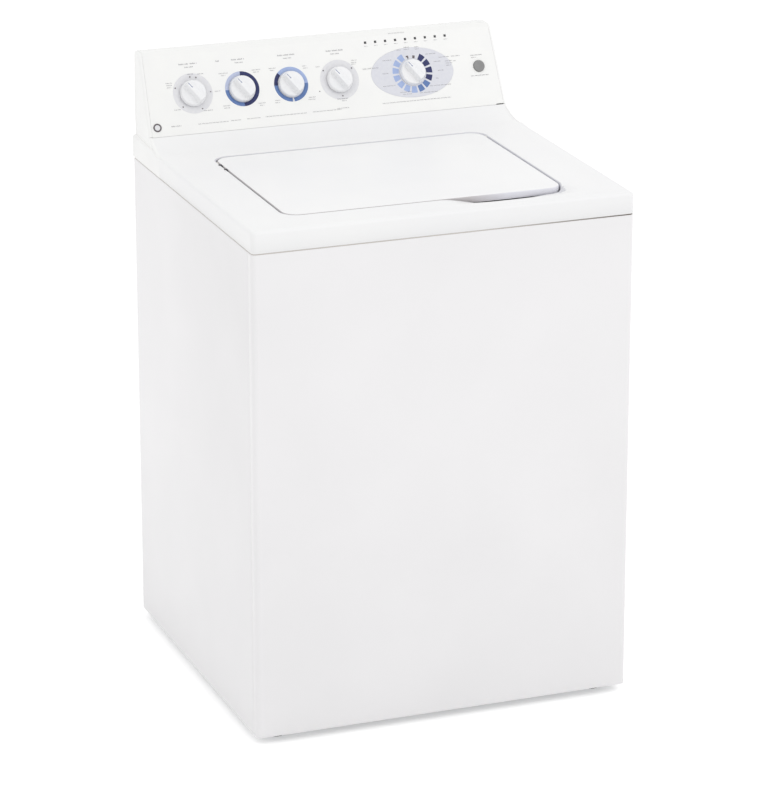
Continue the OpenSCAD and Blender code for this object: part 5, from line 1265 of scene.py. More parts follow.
# %% [markdown]
# ## Start button and lamps
#
# The button has a softly dished top that a fingertip finds, and the lamps are small dark lenses, each with a
# lens of its own standing a little proud of the face.

# %% Button and lamps
BUTTON_PROUD, BUTTON_FLANGE = 3 * MM, 2.5 * MM
button_profile = np.array([
    (0.0, -4.1 * MM), (START_R + BUTTON_FLANGE, -4.1 * MM), (START_R + BUTTON_FLANGE, -2.65 * MM),
    (START_R, -2.65 * MM), (START_R, BUTTON_PROUD - 1.0 * MM), (START_R - 0.3 * MM, BUTTON_PROUD - 0.3 * MM),
    (START_R - 1.0 * MM, BUTTON_PROUD),
    *[(START_R - 1.0 * MM - 9.5 * MM * t, BUTTON_PROUD - 0.9 * MM * ease(t, 0, 1))
      for t in np.linspace(0.1, 1, 8)]])
piece("start_button_moulding", laid(turned(button_profile, 64), START_X, cycle_up), "start_button",
      button_plastic, replaces="start_button", outward=False, crease=40)


def lens():
    """One lamp: a square post with round corners whose top swells like a pillow."""
    half = LAMP_SIDE / 2
    rings = [(half, -12 * MM), (half, 0.0), (half - 0.1 * MM, 0.15 * MM), (half - 0.5 * MM, 0.25 * MM),
             (half * 0.4, 0.3 * MM)]
    loops = [round_box(2 * h, 2 * h, min(0.5 * MM, h * 0.6), corner=3) for h, _ in rings]
    shape = ring_between(loops, [z for _, z in rings])
    base = turned_over(moved(filled(loops[0]), lambda p: p + [0, 0, rings[0][1]]))
    top = moved(filled(loops[-1]), lambda p: p + [0, 0, rings[-1][1]])
    return joined(shape, base, top)


piece("lamp_lenses", joined(*[laid(lens(), x, LAMP_UP) for x in lamp_xs]), "cabinet", lamp_lens,
      replaces="indicator_lamps", outward=False, crease=40)

# %% [markdown]
# ## Small print
#
# The face carries short labels round the dials, a heading over each, a line of them along the foot, small
# dots that the pointers aim at, and a round bare badge. None of it is meant to be read, so a label is drawn
# as a row of upright strokes the size of its letters. More than a thousand strokes as objects would be slow,
# so each is four corners in one array, moved out a fifth of a millimetre from the face.

# %% Labels and dots
MARK_OUT, MARK_GAUGE, LETTER_W, LETTER_STEP = 0.2 * MM, 0.08 * MM, 0.55, 1.25
# Each label in millimetres: where it starts, its height up the slope, its length and its letters' height
labels = np.array([
    (-265, 127, 19, 2.6), (-244, 127, 14, 2.6), (-255, 121, 17, 2.0), (-196, 127, 8, 2.6),
    (-167, 127, 25, 2.6), (-161, 121, 15, 2.0), (-80, 127, 34, 2.6), (-70, 121, 16, 2.0), (12, 127, 34, 2.6),
    (20, 121, 18, 2.0), (-252, 108, 11, 1.6), (-233, 107, 11, 1.6), (-294, 95, 12, 1.6), (-293, 91, 10, 1.6),
    (-293, 87, 8, 1.6), (-206, 73, 10, 1.6), (-286, 46, 12, 1.6), (-232, 40, 17, 1.6), (-194, 104, 17, 1.6),
    (-190, 100, 8, 1.6), (-132, 105, 16, 1.6), (-130, 101, 11, 1.6), (-129, 44, 14, 1.6), (-127, 40, 8, 1.6),
    (-195, 45, 14, 1.6), (-194, 41, 11, 1.6), (-100, 105, 13, 1.6), (-98, 101, 8, 1.6), (-37, 104, 8, 1.6),
    (-36, 100, 9, 1.6), (-34, 46, 13, 1.6), (-35, 42, 13, 1.6), (-97, 46, 9, 1.6), (-98, 42, 9, 1.6),
    (-12, 100, 8, 1.6), (57, 106, 10, 1.6), (56, 102, 10, 1.6), (56, 99, 8, 1.6), (76, 88, 31, 2.0),
    (19, 38, 21, 1.8), (27, 34, 9, 1.6), (135, 149, 31, 1.3), (146, 117, 8, 1.6), (160, 121, 10, 1.6),
    (160, 117, 10, 1.6), (181, 120, 8, 1.6), (181, 116, 8, 1.6), (199, 105, 20, 1.6), (213, 90, 13, 1.6),
    (218, 73, 11, 1.6), (212, 59, 5, 1.6), (116, 100, 17, 1.6), (112, 76, 11, 1.6), (109, 53, 24, 1.6),
    (140, 39, 22, 1.6), (144, 35, 17, 1.6), (177, 35, 34, 1.6), (198, 46, 42, 1.6), (224, 97, 20, 1.6),
    (248, 97, 17, 1.8), (235, 89, 13, 1.6), (236, 85, 12, 1.6), (236, 81, 9, 1.6), (250, 88, 7, 1.6),
    (285, 95, 23, 1.8), (286, 91, 9, 1.6), (280, 57, 34, 1.6), (-296, 17, 19, 2.0)])
# The labels along the foot and under the lamps, again in millimetres: start, height up the slope and length
foot_places = [
    (-246, 17, 57), (-185, 17.5, 20), (-155, 18, 27), (-120, 18.5, 79), (-31, 19, 55), (103, 22, 133),
    (16, 21, 23)]
lamp_places = [(x / MM - 3, LAMP_UP / MM - 6.5, 7) for x in lamp_xs]
FOOT_LETTER, LAMP_LETTER = 1.5, 1.2
# Each dot in millimetres: across, up, and its radius
dots = np.array([
    (-248, 103, 1.3), (-237, 101, 1.3), (-278, 85, 1.3), (-214, 73, 1.1), (-269, 50, 1.2), (-234, 44, 1.2),
    (1, 92, 1.3), (55, 92, 1.2), (30, 43, 1.2), (-12, 55, 1.1)])


def boxes(low_x, low_up, wide, high):
    """Flat boxes on the face from arrays of their lower left corners and sizes: four corners each, in one
    array."""
    corner_x = np.stack([low_x, low_x + wide, low_x + wide, low_x], 1)
    corner_up = np.stack([low_up, low_up, low_up + high, low_up + high], 1)
    points = np.stack([corner_x, corner_up, 0 * corner_x], -1).reshape(-1, 3) * MM
    return points, [np.arange(len(points)).reshape(-1, 4)]


def strokes(label):
    """The strokes of one label. A gap falls after every sixth stroke, and every third stroke is taller."""
    x, up, length, letter = label
    k = np.arange(int(length / (LETTER_STEP * letter / 2)))
    k = k[k % 7 != 6]
    tall = np.where(k % 3 == 0, 1.0, 0.72) * letter
    return np.column_stack([x + k * LETTER_STEP * letter / 2, up - letter / 2 + 0 * k,
                            LETTER_W * letter / 2 + 0 * k, tall])


small_labels = [(*place, FOOT_LETTER) for place in foot_places]
small_labels += [(*place, LAMP_LETTER) for place in lamp_places]
print_boxes = np.concatenate([strokes(label) for label in (*labels, *small_labels)])
print("strokes:", len(print_boxes))
spots = [moved(filled(circle(r * MM, 16)), lambda p, x=x, up=up: p + [x * MM, up * MM, 0])
         for x, up, r in dots]
piece("console_labels", laid(boxes(*print_boxes.T), 0, 0, MARK_OUT), "cabinet", inks["grey"],
      outward=False, gauge=MARK_GAUGE)
piece("console_dots", laid(joined(*spots), 0, 0, MARK_OUT + 0.02 * MM), "cabinet",
      inks["brown"], outward=False, gauge=MARK_GAUGE)

# %% The bare badge
badge_x, badge_up, BADGE_R, BADGE_RIM = -322 * MM, 17 * MM, 7.6 * MM, 2.6 * MM
badge_profile = np.array([
    (BADGE_R, 0.0), (BADGE_R, 0.7 * MM), (BADGE_R - 0.3 * MM, 1.0 * MM),
    (BADGE_R - BADGE_RIM + 0.3 * MM, 1.0 * MM), (BADGE_R - BADGE_RIM, 0.5 * MM), (BADGE_R * 0.3, 0.5 * MM),
    (0.0, 0.5 * MM)])
badge_middle = on_face(badge_x, badge_up)


def badge_ink(middles):
    """The rim takes the dark ink and the middle the pale one."""
    return (np.linalg.norm(middles - badge_middle, axis=1) < BADGE_R - BADGE_RIM).astype(int)


piece("console_badge", laid(turned(badge_profile, 48), badge_x, badge_up), "cabinet",
      [inks["brown"], inks["pale"]], outward=False, bands=badge_ink)

# %% [markdown]
# ## The wash basket
#
# The basket is pressed steel with rows of small holes that let the water through as it spins. Cutting two
# thousand holes by subtraction is slow and leaves long thin triangles. Here each hole is a cell instead:
# eight points on a square and eight on an octagon, joined by quads. One cell is copied to every place by
# adding arrays, and each row is set half a cell round from the one below, where the points still meet.

# %% Basket
axis_x, axis_y = joints["basket_spin"]["pos_m"][:2]
basket_low, basket_high = corners("basket")
basket_r = (basket_high[0] - basket_low[0]) / 2
BASKET_BEND, BASKET_GAUGE, HOLE_R, COLUMNS = 30 * MM, 1.5 * MM, 2.6 * MM, 88
_, hub_high = corners("basket_hub")
cell_w = 2 * math.pi * basket_r / COLUMNS
holes_low = basket_low[2] + BASKET_BEND + 18 * MM
ROWS = int((basket_high[2] - 30 * MM - holes_low) / cell_w)
square = np.array([(-1, -1), (0, -1), (1, -1), (1, 0), (1, 1), (0, 1), (-1, 1), (-1, 0)]) * cell_w / 2
octagon_a = np.radians(np.arange(-135, 225, 45))
octagon = HOLE_R * np.column_stack([np.cos(octagon_a), np.sin(octagon_a)])


def perforated(radius, low, columns, rows):
    """A band of cells wrapped round the axis: x = r cos(u / r), y = r sin(u / r), z = v."""
    cell = np.concatenate([square, octagon])
    column, row = np.meshgrid(np.arange(columns), np.arange(rows), indexing="ij")
    u = (column + 0.5 + 0.5 * (row % 2))[..., None] * cell_w + cell[:, 0]
    v = low + (row[..., None] + 0.5) * cell_w + cell[:, 1]
    points = np.stack([radius * np.cos(u / radius), radius * np.sin(u / radius), v], -1).reshape(-1, 3)
    k = np.arange(8)
    quads = np.stack([k, (k + 1) % 8, (k + 1) % 8 + 8, k + 8], 1)
    starts = np.arange(columns * rows)[:, None, None] * 16
    return points, [(starts + quads).reshape(-1, 4)]


def on_axis(shape):
    """A shape about the origin's upright line, moved to the drum's axis."""
    return moved(shape, lambda p: p + [axis_x, axis_y, 0.0])


holes_high = holes_low + ROWS * cell_w
FLOOR_BEADS, BEAD_RISE = 3, 2.5 * MM
floor_r = np.linspace(hub_high[0] - axis_x, basket_r - BASKET_BEND, 46)
floor_share = (floor_r - floor_r[0]) / (floor_r[-1] - floor_r[0])
floor_z = basket_low[2] + BEAD_RISE * np.sin(math.pi * FLOOR_BEADS * floor_share) ** 4
bend = arc((basket_r - BASKET_BEND, basket_low[2] + BASKET_BEND), BASKET_BEND, -90, 0, 10)
lower = np.concatenate([np.column_stack([floor_r, floor_z])[:-1], bend, [[basket_r, holes_low]]])
upper = np.array([[basket_r, holes_high], [basket_r, basket_high[2] - 8 * MM], [basket_r, basket_high[2]]])
basket = joined(turned(lower, 2 * COLUMNS), perforated(basket_r, holes_low, COLUMNS, ROWS),
                turned(upper, 2 * COLUMNS))
piece("wash_basket", on_axis(basket), "basket", basket_steel, replaces="basket",
      outward=False, gauge=BASKET_GAUGE, distance=2e-6)
print("holes in the basket:", COLUMNS * ROWS)

# %% [markdown]
# ## Rings, cup and sleeve
#
# A moulded ring could be a lathe of its sharp outline with a Bevel modifier on top. Rounding the outline
# itself before it is turned costs fewer faces and gives the same soft edge, so each corner is replaced by a
# short parabola.

# %% Rings
def softened(profile, cut):
    """A closed profile with each corner P cut back to A and B and joined by (1-t)^2 A + 2 t (1-t) P + t^2
    B."""
    p = np.asarray(profile, float)

    def toward(q):
        gap = q - p
        length = np.linalg.norm(gap, axis=1, keepdims=True)
        return p + gap * np.minimum(cut / length, 0.45)
    a, b = toward(np.roll(p, 1, axis=0)), toward(np.roll(p, -1, axis=0))
    t = np.linspace(0, 1, 5)[None, :, None]
    return ((1 - t) ** 2 * a[:, None] + 2 * t * (1 - t) * p[:, None] + t ** 2 * b[:, None]).reshape(-1, 2)


def ring_of(profile, count=128):
    """A closed profile carried round the drum's axis."""
    return on_axis(turned(np.concatenate([profile, profile[:1]]), count))


basket_top = basket_high[2]
tub_ring_low, tub_ring_high = corners("tub_ring")
_, tub_high = corners("outer_tub")
balance = np.array([(226, 4), (232, 0), (258, 0), (261, 3), (261, 23), (257, 27), (231, 27),
                    (226, 21)]) * MM + [0, basket_top]
piece("balance_ring_moulding", ring_of(softened(balance, 2.2 * MM)), "basket", ring_plastic,
      replaces="balance_ring")
ring_r = (tub_ring_high[0] - tub_ring_low[0]) / 2
ring_top = tub_ring_high[2]
tub_ring = np.array([
    (ring_r - 5.7 * MM, tub_ring_low[2]), (ring_r, tub_ring_low[2]), (ring_r, ring_top - 9 * MM),
    (ring_r - 6 * MM, ring_top - 5 * MM), (ring_r - 49 * MM, ring_top - 5 * MM), (ring_r - 50 * MM, ring_top),
    (ring_r - 53 * MM, ring_top), (ring_r - 53 * MM, ring_top - 9 * MM),
    (ring_r - 9.5 * MM, ring_top - 9 * MM), (ring_r - 9.5 * MM, tub_high[2]),
    (ring_r - 5.7 * MM, tub_high[2])])
piece("tub_ring_moulding", ring_of(softened(tub_ring, 1.2 * MM)), "tub", ring_plastic,
      replaces="tub_ring")

# %% [markdown]
# ## The agitator
#
# The agitator is one moulding: a bell-shaped skirt, a column and four vanes that grow out of both. Four
# plates standing on a lathe shape would meet it at hard lines. Instead the radius itself is a function of
# angle and height: the bell, plus the vane's reach past the bell times an ease across the vane. The grid's
# angles crowd together near each vane, so its edge stays round.

# %% Agitator
agitator_low, agitator_high = corners("agitator")
auger_low, auger_high = corners("auger")
SKIRT_R, COLUMN_R, NECK_R, WALL = 150 * MM, 46 * MM, 30 * MM, 4 * MM
bell_low, SKIRT_TOP = agitator_low[2], 420 * MM
shoulder = auger_low[2] - 0.4 * MM
VANE_FULL, VANE_FOOT = math.radians(1.5), math.radians(8.5)


def bell(z):
    """Radius of the skirt at a height: it flares as the 2.4th power of the distance below its top."""
    return COLUMN_R + (SKIRT_R - COLUMN_R) * np.clip((SKIRT_TOP - z) / (SKIRT_TOP - bell_low), 0, 1) ** 2.4


half_angles = np.radians([0, 0.5, 1, 1.5, 2.2, 3, 4, 5, 6, 7, 8.5, 11, 15, 20, 26, 33, 40])
quarter_angles = np.concatenate([-half_angles[:0:-1], half_angles])
angles = (np.arange(4)[:, None] * math.pi / 2 + quarter_angles).ravel()
vane_z = np.concatenate([[bell_low, bell_low + 1.5 * MM], np.linspace(bell_low + 4 * MM, SKIRT_TOP, 44),
                         np.linspace(SKIRT_TOP + 6 * MM, shoulder - 6 * MM, 34)])
reach_z = np.array([bell_low + 8 * MM, bell_low + 14 * MM, bell_low + 42 * MM, SKIRT_TOP - 26 * MM, 500 * MM,
                    shoulder - 40 * MM, shoulder - 16 * MM])
reach_sharp = np.interp(vane_z, reach_z, np.array([120, 128, 127, 98, 80, 63, 45]) * MM, left=0, right=0)
reach = np.convolve(np.pad(reach_sharp, 2, mode="edge"), [0.1, 0.2, 0.4, 0.2, 0.1], "valid")
vane_share = np.tile(ease(np.abs(quarter_angles), VANE_FOOT, VANE_FULL), 4)[:, None]
outer_r = bell(vane_z) + np.maximum(0, reach - bell(vane_z)) * vane_share
top_profile = np.array([
    (COLUMN_R, shoulder - 2 * MM), (COLUMN_R - 0.6 * MM, shoulder - 0.6 * MM), (COLUMN_R - 2 * MM, shoulder),
    (NECK_R + 2 * MM, shoulder), (NECK_R, shoulder + 2 * MM), (NECK_R, agitator_high[2] - 2 * MM),
    (NECK_R - 0.6 * MM, agitator_high[2] - 0.6 * MM), (NECK_R - 2 * MM, agitator_high[2]),
    (NECK_R - WALL, agitator_high[2] - 1 * MM), (NECK_R - WALL, shoulder - WALL),
    (COLUMN_R - WALL, shoulder - 2 * WALL), (COLUMN_R - WALL, SKIRT_TOP)])
inner_z = np.linspace(SKIRT_TOP - 4 * MM, bell_low + 1 * MM, 24)
rest = np.concatenate([top_profile, np.column_stack([bell(inner_z) - WALL - 1 * MM, inner_z]),
                       [[SKIRT_R - 3 * MM, bell_low]]])
rows_r = np.concatenate([outer_r, np.broadcast_to(rest[:, 0], (len(angles), len(rest)))], 1)
rows_z = np.broadcast_to(np.concatenate([vane_z, rest[:, 1]]), rows_r.shape)
agitator = sheet(np.stack([rows_r * np.cos(angles)[:, None], rows_r * np.sin(angles)[:, None], rows_z], -1),
                 close_u=True, close_v=True)
piece("agitator_moulding", on_axis(agitator), "agitator", agitator_plastic,
      replaces="agitator", crease=50)

# %% [markdown]
# ## The auger and the cup
#
# The auger is a sleeve with two flights that wind up it. A flight is a section carried along a helix: at each
# step it turns and climbs, and its tip reaches out and falls back in again, so it grows from the sleeve with
# a soft foot.

# %% Auger
SLEEVE_R, TIP_R, FLIGHT_TURN = 42.05 * MM, 92 * MM, math.radians(330)
auger_base, auger_top = auger_low[2], auger_high[2]


def flight(start):
    """A flight: at share k along the helix, x = r cos(start + turn k), y = r sin(...), z = base + climb k +
    s, with the radius r and the rise s from a section that is thick at the sleeve and thin at the tip."""
    k = np.linspace(0, 1, 140)
    grow = ease(k, 0, 0.13) * ease(k, 1, 0.87)
    root = SLEEVE_R - 2 * MM
    tip = root + (TIP_R - root) * grow * (1 - 0.15 * k)
    share = np.array([0, 0.03, 0.08, 0.16, 0.35, 0.6, 0.85, 0.96, 0.99, 1.0, 0.99, 0.96, 0.85, 0.6, 0.35,
                      0.16, 0.08, 0.03, 0])
    rise = np.array([-6, -3, -1, 0, 0.6, 1.1, 1.6, 1.9, 2.4, 3.2, 4.0, 4.6, 4.9, 5.3, 5.7, 6.2, 7.2, 9,
                     12]) * MM
    radius = root + (tip - root)[:, None] * share
    a = (start + FLIGHT_TURN * k)[:, None]
    height_now = auger_base + 12 * MM + (auger_top - auger_base - 32 * MM) * k[:, None] + rise
    return sheet(np.stack([radius * np.cos(a), radius * np.sin(a), height_now], -1), close_v=True)


sleeve = softened([(NECK_R + 0.3 * MM, auger_base), (SLEEVE_R, auger_base), (SLEEVE_R, auger_top),
                   (NECK_R + 0.3 * MM, auger_top)], 2.5 * MM)
auger = joined(ring_of(sleeve, 96), on_axis(flight(0.0)), on_axis(flight(math.pi)))
piece("auger_moulding", auger, "auger", agitator_plastic, replaces="auger", crease=50)

# %% Softener cup
cup_low, cup_high = corners("softener_cup")
cup_mouth = (cup_high[0] - cup_low[0]) / 2
cup_foot, CUP_WALL = SLEEVE_R + 2 * MM, 2.5 * MM
cup = np.array([
    (0.4 * MM, cup_low[2]), (cup_foot, cup_low[2]), (cup_mouth - 1.2 * MM, cup_high[2] - 6 * MM),
    (cup_mouth, cup_high[2] - 5 * MM), (cup_mouth, cup_high[2]), (cup_mouth - CUP_WALL - 1 * MM, cup_high[2]),
    (cup_mouth - CUP_WALL - 1.4 * MM, cup_high[2] - 8 * MM), (cup_foot - CUP_WALL, cup_low[2] + 3 * MM),
    (16 * MM, cup_low[2] + 3 * MM), (10 * MM, cup_low[2] + 18 * MM), (0.4 * MM, cup_low[2] + 21 * MM)])
cup_line = softened(cup, 1.5 * MM)
cup_line[:, 0] = np.where(cup_line[:, 0] < 1.2 * MM, 0.0, cup_line[:, 0])
piece("softener_cup_moulding", ring_of(cup_line, 96), "agitator", cup_plastic,
      replaces="softener_cup")

# %% [markdown]
# ## Bleach cup and lid buffers
#
# The bleach dispenser hangs in the corner of the lid's recess, a tray with a cup in it. It is a flat with a
# round hole whose edge carries on down as a lathe shape; the counts of points agree, so the two weld into one
# skin.

# %% Bleach dispenser
bleach_low, bleach_high = corners("bleach_dispenser")
tray_top = bleach_high[2]
BLEACH_R, CUP_DEPTH, TRAY_CORNER = 20 * MM, tray_top - bleach_low[2], 29 * MM
BLEACH_CENTRE = (-214.5 * MM, -220 * MM)
tray = np.concatenate([
    arc((bleach_low[0] + TRAY_CORNER, bleach_low[1] + TRAY_CORNER), TRAY_CORNER, 180, 270, 12),
    arc((bleach_high[0] - 3 * MM, bleach_low[1] + 3 * MM), 3 * MM, -90, 0, 4),
    arc((bleach_high[0] - 8 * MM, bleach_high[1] - 8 * MM), 8 * MM, 0, 90, 6),
    arc((bleach_low[0] + 3 * MM, bleach_high[1] - 3 * MM), 3 * MM, 90, 180, 4)])
tray_flat = moved(filled(tray, [circle(BLEACH_R, 48, BLEACH_CENTRE)]), lambda p: p + [0, 0, tray_top])
well_profile = np.array([
    (BLEACH_R, 0), (BLEACH_R - 0.6 * MM, -0.3 * MM), (BLEACH_R - 1.6 * MM, -1.6 * MM),
    (BLEACH_R - 3.4 * MM, -CUP_DEPTH + 6 * MM), (BLEACH_R - 4.6 * MM, -CUP_DEPTH + 3.6 * MM),
    (BLEACH_R - 7 * MM, -CUP_DEPTH + 2.4 * MM), (6 * MM, -CUP_DEPTH + 2.2 * MM),
    (4 * MM, -CUP_DEPTH + 2 * MM)]) + [0, tray_top]
piece("bleach_dispenser_moulding", joined(tray_flat, turned(well_profile, 48, BLEACH_CENTRE)), "cabinet",
      cup_plastic, replaces="bleach_dispenser", outward=False, gauge=1.8 * MM)

# %% Lid rests and buffers
REST_X, REST_Y, REST_R = 243 * MM, 101.5 * MM, 5 * MM
rest_top = float(liner_low[2]) - 0.1 * MM
BUFFER_X, BUFFER_YS, BUFFER_Z, BUFFER_R = -258.5 * MM, (77 * MM, 47 * MM), deck - 1.4 * MM, 3.0 * MM
rest_line = np.array([
    (0, ledge_z), (REST_R, ledge_z), (REST_R, rest_top - 1.2 * MM), (REST_R - 0.4 * MM, rest_top - 0.35 * MM),
    (REST_R - 1.3 * MM, rest_top), (0, rest_top)])
buffer_line = np.array([
    (0, -3 * MM), (BUFFER_R, -3 * MM), (BUFFER_R, 1.6 * MM), (BUFFER_R - 0.5 * MM, 2.3 * MM),
    (BUFFER_R - 1.4 * MM, 2.8 * MM), (0, 3 * MM)])


def edge_buffer(y):
    """A small round pad in the recess's left wall, turned about a line across the machine."""
    return moved(turned(buffer_line, 24), lambda p: np.column_stack([
        BUFFER_X + p[:, 2], y + p[:, 0], BUFFER_Z + p[:, 1]]))


rests = [turned(rest_line, 32, (lid_centre[0] + side * REST_X, lid_centre[1] + way * REST_Y))
         for side in (-1, 1) for way in (-1, 1)]
piece("lid_bumper_pads", joined(*rests, *[edge_buffer(y) for y in BUFFER_YS]), "cabinet",
      buffer_grey, replaces="lid_bumpers", crease=40)

# %% [markdown]
# ## The services at the back
#
# Water comes in by two threaded ports and goes out by a barbed spigot. A thread as a stack of rings would be
# wrong, because a hose nut has to climb it; so it is a true helix. Each turn of the grid carries on from the
# last, and the height over the core is a rounded wave, once per pitch.

# %% Threaded ports
PORT_R, THREAD_PITCH, THREAD_DEPTH, PORT_WALL = 13.3 * MM, 2.209 * MM, 1.1 * MM, 3.3 * MM
BORE_DEPTH, PORT_STEPS = 12 * MM, 48
thread_start, thread_end = cabinet_back + 1 * MM, float(cad_high.y)
collar_r = PORT_R + 1.7 * MM


def threaded(centre_x, centre_z, y0, y1):
    """A threaded tube along y: radius = core + depth w(y / pitch - angle / 2 pi), where w is a wave with flat
    tops that dies out over one pitch at each end. Its bore goes back from the mouth as far as BORE_DEPTH."""
    a = np.arange(PORT_STEPS)[:, None] * 2 * math.pi / PORT_STEPS
    y = np.linspace(y0, y1, int((y1 - y0) / (THREAD_PITCH / 8)))
    wave = 0.5 - 0.5 * np.cos(2 * math.pi * (y / THREAD_PITCH - a / (2 * math.pi)))
    fade = ease(y, y0, y0 + THREAD_PITCH) * ease(y, y1, y1 - THREAD_PITCH)
    outside = PORT_R - THREAD_DEPTH * (1 - ease(wave, 0.15, 0.8) * fade)
    bore = np.broadcast_to([PORT_R - PORT_WALL, PORT_R - PORT_WALL, 0.0], (PORT_STEPS, 3))
    radius = np.concatenate([outside, bore], 1)
    y = np.broadcast_to([*y, y1, y1 - BORE_DEPTH, y1 - BORE_DEPTH], radius.shape)
    return sheet(np.stack([centre_x + radius * np.sin(a), y, centre_z + radius * np.cos(a)], -1),
                 close_u=True)


def tube_y(profile, x, z):
    """A profile of (radius, y) points turned about a line along y."""
    return moved(turned(profile, PORT_STEPS), lambda p: np.column_stack([x + p[:, 1], p[:, 2], z + p[:, 0]]))


valve_low, valve_high = corners("inlet_valve")
VALVE_D, COIL_R, COIL_H = 30 * MM, 13 * MM, 30 * MM
valve_x = (valve_low[0] + valve_high[0]) / 2
valve_w = valve_high[0] - valve_low[0]
valve_y = valve_low[1] + VALVE_D / 2
neck_y = valve_low[1] + VALVE_D - 2 * MM
coil_low, box_low = valve_low[2], valve_low[2] + COIL_H
coil = softened([(0, coil_low), (COIL_R, coil_low), (COIL_R, box_low + 1 * MM), (0, box_low + 1 * MM)],
                1.5 * MM)
coil[:, 0] = np.where(coil[:, 0] < 1.0 * MM, 0.0, coil[:, 0])
neck = np.array([(0.0, neck_y), (collar_r, neck_y), (collar_r, thread_start - 0.6 * MM),
                 (collar_r - 0.6 * MM, thread_start), (PORT_R - 4 * MM, thread_start)])
valve = [moved(slab(round_box(valve_w, VALVE_D, 4 * MM, corner=4), box_low, valve_high[2], 2 * MM),
               lambda p: p + [valve_x, valve_y, 0])]
for side in (-1, 1):
    x = valve_x + side * PORT_SPACING / 2
    valve.append(turned(np.concatenate([coil, coil[:1]]), 32, (x, valve_y)))
    valve.append(tube_y(neck, x, port_z))
    valve.append(threaded(x, port_z, thread_start - 0.2 * MM, thread_end))
piece("inlet_valve_ports", joined(*valve), "cabinet", acetal, replaces="inlet_valve", crease=40)

# %% [markdown]
# The drain spigot is an elbow inside and a barbed end outside. Its outside is one profile turned about the
# line it points along, with a saw's teeth that let a hose slide on and not off. Its bore is the same profile
# carried back.

# %% Drain spigot
spigot_low, _ = corners("drain_spigot")
SPIGOT_R, SPIGOT_BORE = 14 * MM, 11 * MM
BARBS, BARB_STEP, TIP_BEVEL = 3, 4.4 * MM, 0.8 * MM
spigot_y = cabinet_back - 33 * MM
collar = np.array([(0, -4.4), (9, -4.4), (9, -1.6), (2, -1.4), (2, 0.6), (1.6, 1), (-1, 1)]) * MM
tooth = np.array([(-1.2, 0.7), (0, 0.9), (0, 1.4)]) * MM
first_tooth = thread_end - TIP_BEVEL - BARBS * BARB_STEP
outside = np.concatenate([
    [(SPIGOT_R, spigot_y)], collar + [SPIGOT_R, cabinet_back],
    *[tooth + [SPIGOT_R, first_tooth + i * BARB_STEP] for i in range(BARBS)],
    [(SPIGOT_R - 1.1 * MM, thread_end - TIP_BEVEL), (SPIGOT_R - 1.4 * MM, thread_end),
     (SPIGOT_BORE, thread_end), (SPIGOT_BORE, spigot_y)]])
elbow = arc((spigot_y, drain_z - SPIGOT_R), SPIGOT_R, 180, 90, 12)
stem = np.concatenate([
    [(spigot_y - SPIGOT_R, float(spigot_low[2]))], elbow, [(spigot_y + 3 * MM, drain_z)]])
stem = np.column_stack([np.full(len(stem), DRAIN_X), stem])
spigot = joined(tube_y(outside, DRAIN_X, drain_z), swept(spaced(stem, 6 * MM), SPIGOT_R - 0.2 * MM, 32))
piece("drain_spigot_barbed", spigot, "cabinet", acetal, replaces="drain_spigot", crease=35)

# %% [markdown]
# The screws that hold the back have hexagonal heads on a washer. The hexagon comes from one formula: the
# radius is the flat's distance over the cosine of the angle from the middle of that flat.

# %% Back screws
HEAD_R, HEAD_H, WASHER_R, SHANK_R = 4.5 * MM, 3 * MM, 6.2 * MM, 2 * MM
_, screw_high = corners("cabinet_screws")
BASE_SCREWS, BASE_Z = (-283, -94.3, 94.3, 283), 33 * MM
CONSOLE_SCREWS, CONSOLE_Z = (-293, -97.7, 97.7, 293), 902 * MM
screw_a = np.arange(48) * 2 * math.pi / 48
hexagon = HEAD_R * math.cos(math.pi / 6) / np.cos((screw_a + math.pi / 6) % (math.pi / 3) - math.pi / 6)
screw_rings = [
    (0, -5 * MM), (SHANK_R, -5 * MM), (SHANK_R, 0), (WASHER_R, 0), (WASHER_R, 0.5 * MM),
    (WASHER_R - 0.3 * MM, 0.8 * MM), (hexagon, 0.9 * MM), (hexagon, HEAD_H - 0.5 * MM),
    (hexagon - 0.5 * MM, HEAD_H), (2.6 * MM, HEAD_H), (2.2 * MM, HEAD_H - 0.5 * MM), (0, HEAD_H - 0.5 * MM)]


def screw(x, y, z):
    """Rings along the screw, each a radius and a distance out: shank, washer, then the six-sided head with
    its edge taken off, and a shallow dish."""
    rings = [np.column_stack([x + r * np.sin(screw_a), np.full(48, y + out), z + r * np.cos(screw_a)])
             for r, out in screw_rings]
    return sheet(np.stack(rings, 1), close_u=True)


console_out = float(screw_high[1]) - HEAD_H
screws = [screw(x * MM, cabinet_back, BASE_Z) for x in BASE_SCREWS]
screws += [screw(x * MM, console_out, CONSOLE_Z) for x in CONSOLE_SCREWS]
piece("back_screw_heads", joined(*screws), "cabinet", zinc_hardware,
      replaces="cabinet_screws", crease=30)

# %% [markdown]
# ## The parts that keep their own solids
#
# Much of a washing machine is never on show: the pump, the motor, the rods and the brackets. Their solids
# already have the right shape, so they are kept as they are and only get a finish. Each solid gets one
# material in place of its own, because each of these parts is made of one thing.

